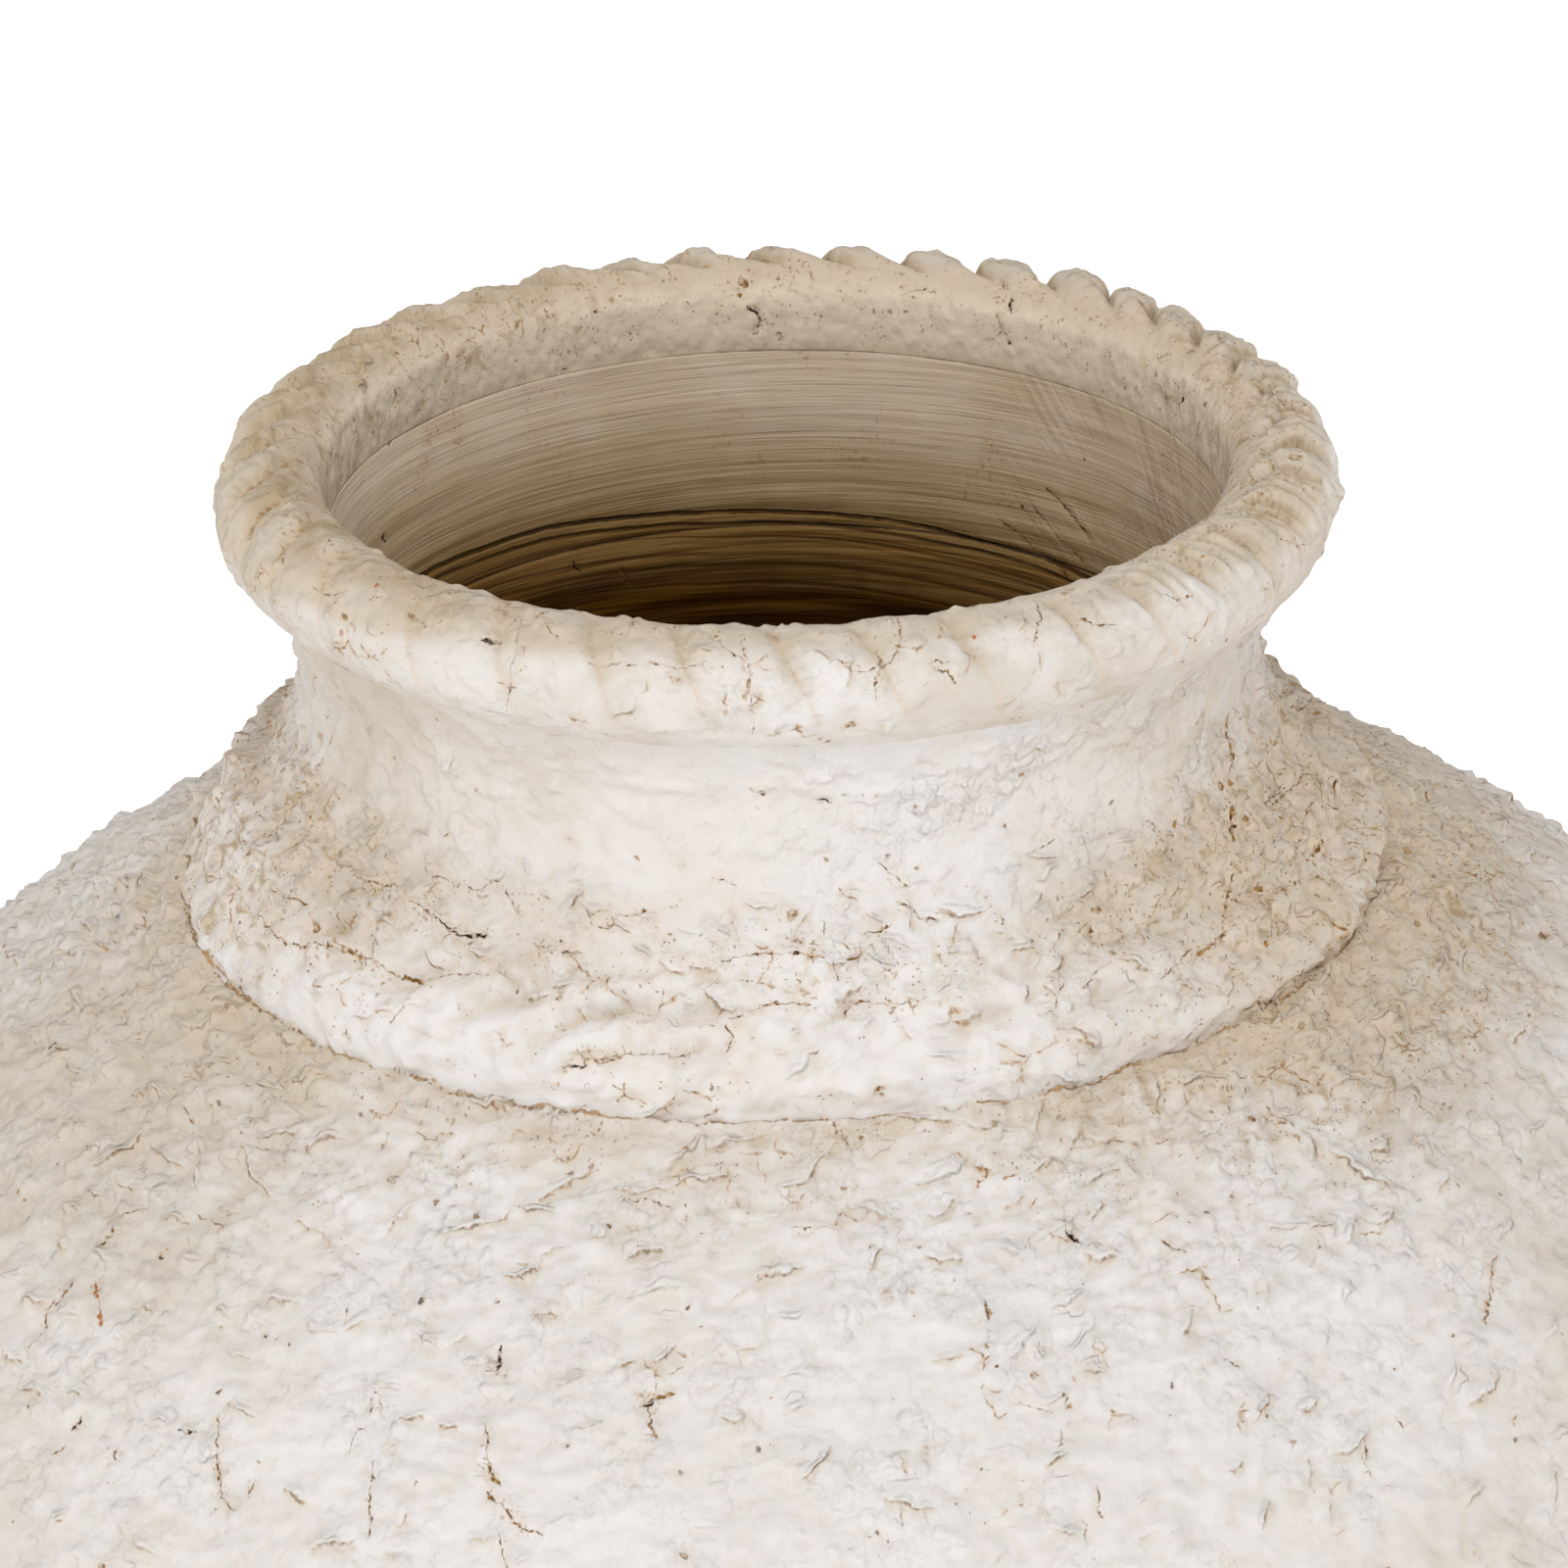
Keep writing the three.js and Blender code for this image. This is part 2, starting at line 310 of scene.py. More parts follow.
# ---------------------------------------------------------------- where cracks, pits and strokes lie
# kinds: b brown, k black, o orange; then half-width or radius, strength, and points on the jar
CRACKS = [
    ('k', 0.75, 1.00, [(-5.0, 91.8, 491.0), (-3.6, 91.7, 489.7), (-2.5, 91.8, 487.8), (-4.1, 91.8, 485.8)]),
    ('k', 0.55, 1.00, [(51.2, 79.8, 496.5), (51.1, 78.2, 495.0)]),
    ('b', 0.28, 0.70, [(22.6, -100.8, 500.0), (22.4, -105.8, 498.0), (20.9, -107.6, 495.3), (18.6, -109.0, 494.8), (17.8, -111.2, 493.2), (17.6, -112.4, 490.7)]),
    ('b', 0.22, 0.60, [(18.3, -106.4, 496.7), (18.5, -108.6, 495.0)]),
    ('b', 0.25, 0.60, [(11.5, -110.3, 496.4), (12.9, -111.1, 495.5), (15.3, -110.9, 494.9), (18.3, -109.5, 494.8)]),
    ('b', 0.25, 0.55, [(49.0, -93.0, 499.2), (48.9, -95.3, 497.0), (48.1, -100.1, 495.5)]),
    ('b', 0.22, 0.40, [(57.3, -93.4, 497.6), (61.4, -92.9, 495.7), (63.4, -91.5, 495.0)]),
    ('b', 0.30, 0.60, [(73.4, -82.5, 496.6), (75.4, -81.5, 495.5), (77.8, -78.3, 494.3)]),
    ('b', 0.25, 0.55, [(28.4, -108.2, 495.4), (31.0, -107.6, 495.1)]),
    ('b', 0.30, 0.60, [(29.5, -108.6, 494.2), (31.3, -108.4, 493.3), (32.4, -108.8, 491.8)]),
    ('b', 0.16, 0.30, [(-6.8, -106.9, 499.1), (-5.5, -111.8, 495.1), (-5.9, -112.6, 484.2)]),
    ('b', 0.20, 0.40, [(-5.2, -113.4, 489.6), (-5.3, -112.6, 484.2)]),
    ('b', 0.20, 0.35, [(-48.6, -92.6, 499.1), (-49.7, -100.1, 495.3), (-50.5, -101.7, 491.6), (-51.5, -100.4, 484.5)]),
    ('b', 0.25, 0.50, [(-89.9, -66.9, 495.1), (-86.2, -70.1, 495.0), (-81.8, -72.4, 496.1)]),
    ('b', 0.25, 0.40, [(-96.5, -60.3, 487.0), (-94.9, -60.2, 483.0)]),
    ('k', 0.60, 0.90, [(-55.7, -95.4, 496.0), (-54.6, -96.7, 495.9), (-53.6, -96.9, 496.4)]),
    ('b', 0.30, 0.50, [(-70.2, -83.7, 496.1), (-67.7, -87.8, 496.2)]),
    ('b', 0.22, 0.40, [(-24.2, -108.1, 496.1), (-19.4, -109.5, 496.0), (-14.3, -108.1, 495.5)]),
    ('b', 0.20, 0.30, [(-36.0, -105.6, 495.7), (-26.8, -107.1, 495.1)]),
    ('b', 0.30, 0.50, [(-12.9, -104.1, 498.7), (-11.1, -106.0, 498.5)]),
    ('b', 0.22, 0.35, [(-10.2, -107.1, 498.2), (-7.8, -109.3, 497.5)]),
    ('b', 0.22, 0.50, [(97.2, -52.1, 494.5), (100.3, -49.6, 492.7), (103.7, -46.0, 491.6)]),
    ('b', 0.20, 0.35, [(96.6, -49.2, 497.2), (99.8, -48.9, 495.1), (99.3, -50.2, 493.6)]),
    ('b', 0.22, 0.50, [(-97.7, -49.8, 497.6), (-96.4, -55.0, 495.8)]),
    ('b', 0.22, 0.40, [(-88.1, -59.5, 499.4), (-86.4, -54.2, 499.8)]),
    ('b', 0.25, 0.40, [(29.3, 88.8, 495.1), (32.1, 88.7, 495.5), (34.8, 87.5, 495.4)]),
    ('b', 0.55, 0.80, [(-34.7, 81.7, 434.6), (-33.7, 82.0, 432.8), (-32.4, 82.4, 430.8)]),
    ('k', 1.10, 1.00, [(-44.3, 77.0, 438.2), (-43.7, 77.2, 436.9)]),
    ('k', 0.80, 0.90, [(-82.5, 32.5, 464.0), (-82.0, 33.5, 462.7)]),
    ('b', 0.50, 0.50, [(58.1, 66.6, 457.9), (62.6, 62.4, 454.3), (67.4, 57.3, 449.3)]),
    ('b', 0.35, 0.35, [(47.6, 74.5, 448.0), (54.4, 69.6, 443.7), (62.7, 63.6, 438.7)]),
    ('b', 0.30, 0.30, [(55.5, 68.7, 452.3), (60.6, 64.6, 447.5), (65.4, 59.5, 443.4)]),
    ('k', 0.70, 0.95, [(7.6, -98.8, 463.2), (8.8, -98.6, 462.7)]),
    ('b', 0.35, 0.60, [(89.3, -42.1, 444.8), (89.3, -42.8, 443.2), (89.4, -43.6, 442.0)]),
    ('b', 0.30, 0.55, [(89.3, -45.3, 440.6), (89.4, -47.1, 438.7), (89.2, -50.0, 436.3)]),
    ('b', 0.28, 0.45, [(51.8, -83.7, 446.3), (49.7, -85.0, 445.9), (47.3, -86.6, 444.9)]),
    ('b', 0.30, 0.60, [(-95.6, -40.9, 430.7), (-94.9, -43.2, 429.8), (-97.1, -41.8, 426.4)]),
    ('k', 0.45, 0.80, [(-90.9, -43.6, 437.8), (-90.3, -45.7, 437.0)]),
    ('b', 0.25, 0.50, [(-103.2, -25.1, 424.3), (-102.2, -28.2, 424.6)]),
    ('b', 0.28, 0.60, [(111.7, -32.1, 421.0), (108.7, -36.8, 422.2), (106.6, -42.8, 422.1)]),
    ('b', 0.28, 0.60, [(104.3, -50.9, 421.2), (101.8, -54.9, 421.2)]),
    ('b', 0.25, 0.50, [(95.3, -62.9, 422.7), (96.7, -62.7, 421.7)]),
    ('b', 0.30, 0.60, [(109.1, -56.6, 414.1), (110.4, -56.1, 412.0)]),
    ('b', 0.20, 0.30, [(-44.2, -97.4, 477.5), (-38.5, -101.1, 479.2)]),
    ('b', 0.20, 0.30, [(-34.6, -106.6, 482.1), (-29.1, -104.6, 479.6)]),
    ('b', 0.28, 0.60, [(-101.0, -50.9, 421.0), (-98.1, -54.6, 421.9), (-94.3, -59.2, 422.8)]),
    ('b', 0.30, 0.65, [(-105.1, -51.6, 417.3), (-101.9, -58.3, 416.6), (-99.3, -62.9, 416.4), (-94.0, -67.9, 418.1), (-88.2, -73.7, 419.4), (-83.7, -76.9, 420.2), (-80.2, -80.4, 420.4), (-76.8, -84.5, 420.2), (-71.2, -88.6, 420.7), (-71.2, -89.6, 419.9)]),
    ('b', 0.25, 0.50, [(-70.6, -88.8, 421.0), (-66.7, -89.8, 422.5), (-58.4, -94.2, 424.1)]),
    ('b', 0.28, 0.60, [(-71.8, -89.6, 419.5), (-73.3, -92.0, 416.5), (-75.9, -92.3, 413.6)]),
    ('b', 0.25, 0.40, [(-88.7, -55.7, 429.0), (-85.1, -59.1, 431.4)]),
    ('b', 0.28, 0.50, [(-83.4, -62.2, 430.5), (-81.1, -65.6, 430.4), (-74.6, -71.3, 432.6)]),
    ('b', 0.25, 0.45, [(-68.4, -74.8, 437.3), (-65.1, -77.7, 436.8)]),
    ('b', 0.28, 0.55, [(-61.1, -80.6, 437.4), (-58.9, -82.6, 436.7), (-55.2, -83.8, 439.8)]),
    ('k', 0.50, 0.90, [(-69.1, -78.1, 430.4), (-67.0, -80.2, 429.7), (-63.8, -83.4, 428.6), (-61.5, -85.9, 427.5), (-57.7, -87.6, 429.5)]),
    ('b', 0.40, 0.80, [(-71.3, -76.0, 430.7), (-69.1, -78.1, 430.4)]),
    ('b', 0.32, 0.70, [(-46.6, -93.7, 430.0), (-43.6, -95.4, 429.7), (-39.3, -96.7, 430.3)]),
    ('b', 0.25, 0.50, [(-53.4, -85.6, 438.0), (-51.0, -88.7, 434.6)]),
    ('b', 0.28, 0.60, [(-37.1, -94.4, 436.9), (-37.1, -95.2, 435.0), (-33.5, -96.5, 435.3), (-31.3, -96.3, 437.5), (-26.8, -97.1, 438.9)]),
    ('b', 0.25, 0.50, [(-13.3, -97.6, 446.4), (-9.4, -98.1, 444.9)]),
    ('b', 0.30, 0.65, [(10.9, -98.3, 443.5), (13.4, -98.8, 441.6)]),
    ('b', 0.28, 0.60, [(18.8, -96.3, 448.0), (21.0, -96.3, 445.4), (23.6, -96.1, 443.0)]),
    ('b', 0.30, 0.60, [(22.1, -97.8, 440.1), (24.7, -97.9, 438.4), (25.8, -98.4, 436.7), (29.0, -97.9, 436.2)]),
    ('b', 0.22, 0.45, [(7.4, -101.1, 437.4), (7.4, -102.3, 434.6)]),
    ('b', 0.28, 0.60, [(15.1, -101.2, 435.8), (18.2, -100.6, 435.6), (19.5, -100.1, 436.2)]),
    ('b', 0.30, 0.70, [(12.0, -103.8, 430.8), (15.1, -102.7, 432.6), (16.0, -102.3, 433.2)]),
    ('b', 0.25, 0.60, [(-11.6, -103.6, 431.2), (-4.0, -103.4, 432.7), (2.2, -103.7, 432.5), (6.9, -103.8, 431.8)]),
    ('b', 0.25, 0.50, [(9.2, -104.2, 430.5), (9.8, -105.9, 427.1)]),
    ('b', 0.26, 0.60, [(-10.6, -111.4, 422.9), (-5.9, -110.6, 424.7), (-1.6, -110.4, 425.1), (4.1, -110.4, 425.0)]),
    ('b', 0.30, 0.70, [(11.2, -111.8, 423.1), (11.8, -110.3, 424.6), (14.8, -109.5, 425.2), (18.4, -109.8, 424.4), (22.7, -109.5, 424.0), (26.4, -108.3, 424.4)]),
    ('b', 0.40, 0.60, [(-11.2, -112.8, 421.5), (-10.5, -114.5, 420.0), (-11.1, -116.1, 418.6)]),
    ('b', 0.26, 0.65, [(-38.3, -112.7, 415.5), (-29.2, -114.4, 416.8), (-21.3, -115.9, 417.4), (-17.1, -116.1, 418.1)]),
    ('k', 0.35, 0.70, [(-42.3, -112.7, 413.9), (-38.7, -113.4, 414.2), (-39.6, -111.9, 416.2)]),
    ('b', 0.30, 0.60, [(-37.6, -112.5, 416.0), (-35.5, -113.6, 415.1), (-30.7, -114.0, 416.6)]),
    ('b', 0.30, 0.50, [(-1.7, -118.2, 417.6), (-0.6, -118.0, 417.9)]),
    ('b', 0.30, 0.50, [(4.3, -118.3, 417.5), (5.4, -117.8, 417.8)]),
    ('b', 0.25, 0.50, [(51.5, -104.2, 420.0), (52.5, -101.1, 422.0), (53.0, -100.5, 422.4)]),
    ('b', 0.25, 0.50, [(57.4, -99.1, 421.5), (62.4, -93.5, 423.9)]),
    ('b', 0.22, 0.40, [(75.0, -85.1, 423.1), (74.9, -86.7, 421.8)]),
    ('b', 0.35, 0.75, [(96.1, -76.4, 406.6), (98.4, -73.6, 407.5), (101.1, -69.4, 406.6), (100.2, -73.2, 410.1)]),
    ('b', 0.25, 0.50, [(91.2, -84.8, 405.6), (96.1, -83.9, 404.3)]),
    ('b', 0.25, 0.50, [(100.9, -72.7, 405.9), (104.0, -74.5, 404.3)]),
    ('b', 0.28, 0.50, [(92.9, -82.5, 409.5), (92.3, -80.7, 406.5), (93.3, -82.8, 405.5), (95.1, -81.9, 405.3), (96.3, -79.0, 405.7), (95.8, -77.0, 406.5), (94.5, -79.0, 407.9)]),
    ('k', 0.80, 0.95, [(-115.9, -151.4, 356.6), (-114.3, -152.1, 357.0)]),
    ('k', 0.75, 0.95, [(-138.1, -139.2, 351.4), (-137.1, -138.9, 352.3)]),
    ('b', 0.40, 0.80, [(-141.1, -142.4, 346.3), (-140.1, -141.9, 347.5)]),
    ('b', 0.30, 0.50, [(-63.4, -125.5, 393.2), (-64.0, -123.9, 393.9), (-63.1, -122.6, 394.9), (-61.5, -122.9, 395.2)]),
    ('b', 0.26, 0.50, [(51.6, -136.6, 393.0), (51.4, -140.9, 390.7), (53.4, -142.1, 389.6), (55.8, -143.7, 388.3), (57.9, -142.4, 388.6)]),
    ('k', 0.50, 0.80, [(52.7, -141.6, 390.0), (53.8, -142.2, 389.5)]),
    ('b', 0.40, 0.50, [(70.3, -140.4, 387.2), (72.4, -140.5, 386.6), (74.2, -140.7, 386.0)]),
    ('b', 0.20, 0.35, [(-31.2, -135.6, 394.9), (-26.5, -135.7, 395.5), (-22.4, -137.9, 394.9)]),
    ('b', 0.20, 0.35, [(0.2, -143.5, 393.3), (4.3, -143.9, 393.0), (8.6, -143.9, 392.9)]),
    ('b', 0.30, 0.60, [(-131.5, -101.7, 375.3), (-131.9, -105.2, 373.7), (-135.2, -106.3, 371.3)]),
    ('b', 0.22, 0.40, [(-125.5, -102.6, 378.3), (-128.2, -102.6, 376.8), (-131.5, -101.7, 375.3)]),
    ('b', 0.30, 0.65, [(-139.9, -110.5, 366.5), (-141.9, -111.6, 364.6), (-142.6, -113.0, 363.4), (-145.0, -112.3, 362.0), (-145.4, -115.6, 360.1)]),
    ('b', 0.24, 0.50, [(-145.4, -115.6, 360.1), (-146.9, -117.5, 358.2), (-148.4, -119.3, 356.2)]),
    ('o', 0.50, 0.80, [(-135.4, -113.2, 368.0), (-134.5, -118.2, 365.8), (-133.6, -122.9, 363.6)]),
    ('b', 0.26, 0.70, [(-108.9, -152.1, 360.0), (-108.5, -157.7, 356.6)]),
    ('b', 0.35, 0.80, [(-108.8, -159.2, 355.3), (-108.5, -163.2, 352.6), (-107.9, -165.6, 350.6), (-105.3, -168.5, 349.3)]),
    ('b', 0.40, 0.70, [(-101.6, -165.9, 353.8), (-102.5, -166.9, 352.5)]),
    ('b', 0.30, 0.50, [(-129.4, -147.9, 351.1), (-129.5, -150.1, 349.2)]),
    ('b', 0.20, 0.40, [(-79.7, -162.5, 366.1), (-79.8, -160.2, 367.7), (-77.7, -159.1, 369.4), (-77.6, -163.1, 366.4)]),
    ('b', 0.25, 0.40, [(-83.4, -167.5, 360.8), (-82.5, -165.4, 362.7), (-81.0, -164.3, 364.2)]),
    ('b', 0.24, 0.50, [(-79.0, -170.7, 360.1), (-79.1, -175.7, 356.1), (-79.2, -181.4, 351.0)]),
    ('b', 0.30, 0.35, [(-84.0, -142.3, 377.2), (-84.8, -145.0, 375.3)]),
    ('k', 0.40, 0.80, [(-54.9, -158.0, 376.8), (-55.0, -160.0, 375.4), (-55.4, -161.3, 374.5)]),
    ('b', 0.20, 0.40, [(-57.3, -161.1, 374.2), (-55.4, -161.5, 374.4)]),
    ('b', 0.24, 0.60, [(-57.0, -169.9, 368.1), (-57.2, -175.9, 363.4)]),
    ('b', 0.38, 0.80, [(-57.2, -175.9, 363.4), (-56.4, -177.9, 362.0), (-55.1, -179.7, 361.0)]),
    ('b', 0.38, 0.80, [(-57.0, -181.0, 359.5), (-54.6, -182.8, 358.6), (-52.5, -185.2, 357.1), (-50.9, -187.1, 355.9)]),
    ('b', 0.28, 0.60, [(-50.9, -187.1, 355.9), (-47.4, -188.6, 355.4)]),
    ('b', 0.32, 0.60, [(-55.1, -187.8, 354.5), (-54.4, -189.9, 352.4), (-53.5, -191.8, 350.5)]),
    ('b', 0.42, 0.85, [(-22.7, -170.8, 374.4), (-25.4, -171.2, 373.9), (-27.7, -172.2, 372.9), (-26.8, -174.5, 371.4), (-27.0, -175.7, 370.4), (-25.7, -177.6, 369.0)]),
    ('k', 0.70, 0.95, [(-27.8, -172.2, 372.9), (-27.1, -171.8, 373.2)]),
    ('b', 0.22, 0.40, [(-26.0, -166.7, 376.8), (-25.4, -168.9, 375.5), (-26.0, -170.8, 374.1)]),
    ('b', 0.20, 0.35, [(42.2, -173.1, 371.8), (47.7, -173.6, 370.5)]),
    ('b', 0.20, 0.35, [(73.2, -152.1, 379.7), (76.2, -150.8, 379.6)]),
    ('o', 0.40, 0.60, [(136.0, -120.4, 371.8), (135.2, -124.6, 369.8), (135.2, -127.1, 368.4)]),
    ('b', 0.40, 0.60, [(134.8, -127.3, 368.5), (133.9, -131.0, 366.9), (133.2, -134.6, 365.3)]),
    ('k', 0.55, 0.70, [(-149.1, -43.2, 381.9), (-148.4, -42.7, 382.5)]),
    ('b', 0.50, 0.80, [(-147.6, -44.7, 382.6), (-145.7, -46.3, 383.4)]),
    ('b', 0.40, 0.60, [(53.1, -189.6, 356.2), (53.3, -190.9, 354.8)]),
    ('b', 0.35, 0.60, [(49.4, -176.6, 367.8), (49.1, -178.4, 366.4)]),
    ('b', 0.35, 0.50, [(35.9, -156.3, 384.0), (36.4, -159.3, 381.9)]),
    ('b', 0.35, 0.50, [(19.2, -189.9, 360.5), (19.3, -192.2, 358.5)]),
    ('b', 0.35, 0.60, [(-118.4, -83.8, 389.0), (-117.6, -86.8, 388.4)]),
    ('b', 0.30, 0.50, [(46.2, -162.7, 378.6), (46.8, -164.7, 377.2)]),
    ('b', 0.30, 0.50, [(55.8, -184.3, 360.5), (56.3, -188.2, 357.1)]),
    ('b', 0.25, 0.45, [(9.1, -122.5, 404.7), (9.0, -126.3, 403.0)]),
    ('b', 0.30, 0.60, [(10.7, -126.3, 402.9), (11.4, -128.3, 401.9)]),
    ('b', 0.25, 0.50, [(12.6, -125.4, 403.3), (14.1, -126.3, 402.9), (13.3, -127.5, 402.3)]),
    ('b', 0.22, 0.40, [(107.3, -164.8, 358.2), (107.7, -167.4, 355.4)]),
    ('b', 0.30, 0.60, [(113.9, -159.8, 358.9), (114.6, -160.6, 357.7)]),
    ('b', 0.25, 0.40, [(96.7, -171.0, 357.9), (96.6, -175.1, 353.9)]),
    ('b', 0.20, 0.35, [(81.5, -159.2, 372.6), (83.7, -159.6, 371.5)]),
    ('b', 0.45, 0.90, [(89.5, -39.2, 451.5), (88.9, -41.4, 448.2), (89.5, -42.2, 443.5)]),
    ('b', 0.55, 1.00, [(88.8, -50.7, 436.5), (88.3, -53.5, 434.3), (88.5, -55.5, 431.8)]),
    ('k', 0.40, 0.80, [(88.5, -52.7, 434.8), (88.4, -54.5, 433.1)]),
    ('b', 0.50, 1.00, [(121.6, -23.1, 412.5), (120.5, -29.3, 411.5), (119.4, -35.0, 410.3)]),
    ('b', 0.35, 0.90, [(119.4, -35.0, 410.3), (121.4, -31.4, 405.8)]),
    ('b', 0.45, 0.90, [(89.7, -85.7, 409.5), (92.2, -83.1, 409.8), (95.4, -78.0, 406.3), (96.3, -81.4, 405.0), (94.1, -85.5, 404.5), (90.9, -86.0, 405.3)]),
    ('b', 0.32, 0.90, [(96.5, -78.4, 409.5), (100.8, -72.4, 409.9), (106.0, -61.4, 406.8)]),
    ('b', 0.35, 0.80, [(80.9, -83.6, 420.7), (84.3, -79.3, 421.1), (88.1, -74.2, 421.5)]),
    ('b', 0.30, 0.80, [(73.3, -91.7, 419.4), (76.4, -87.6, 420.5), (78.9, -84.2, 421.5)]),
    ('b', 0.30, 0.80, [(97.1, -39.8, 431.2), (101.1, -30.6, 429.8), (103.6, -23.6, 429.1), (106.8, -15.1, 425.0)]),
    ('b', 0.40, 0.90, [(111.4, -8.7, 425.1), (115.4, -4.4, 421.7), (116.2, -9.5, 420.9)]),
    ('b', 0.45, 0.90, [(107.0, -17.2, 423.4), (109.8, -22.8, 424.6), (113.2, -21.0, 421.9)]),
    ('b', 0.30, 0.70, [(87.7, -62.0, 425.9), (87.5, -70.0, 424.4), (86.0, -75.9, 421.9)]),
    ('b', 0.30, 0.70, [(103.5, -30.7, 424.5), (102.9, -43.5, 424.9), (101.1, -50.8, 423.7)]),
    ('k', 0.30, 0.70, [(95.4, -41.7, 432.5), (99.7, -31.5, 431.6)]),
    ('b', 0.35, 0.80, [(104.9, 7.6, 431.2), (110.8, 28.2, 422.6), (121.8, 101.4, 387.8)]),
]
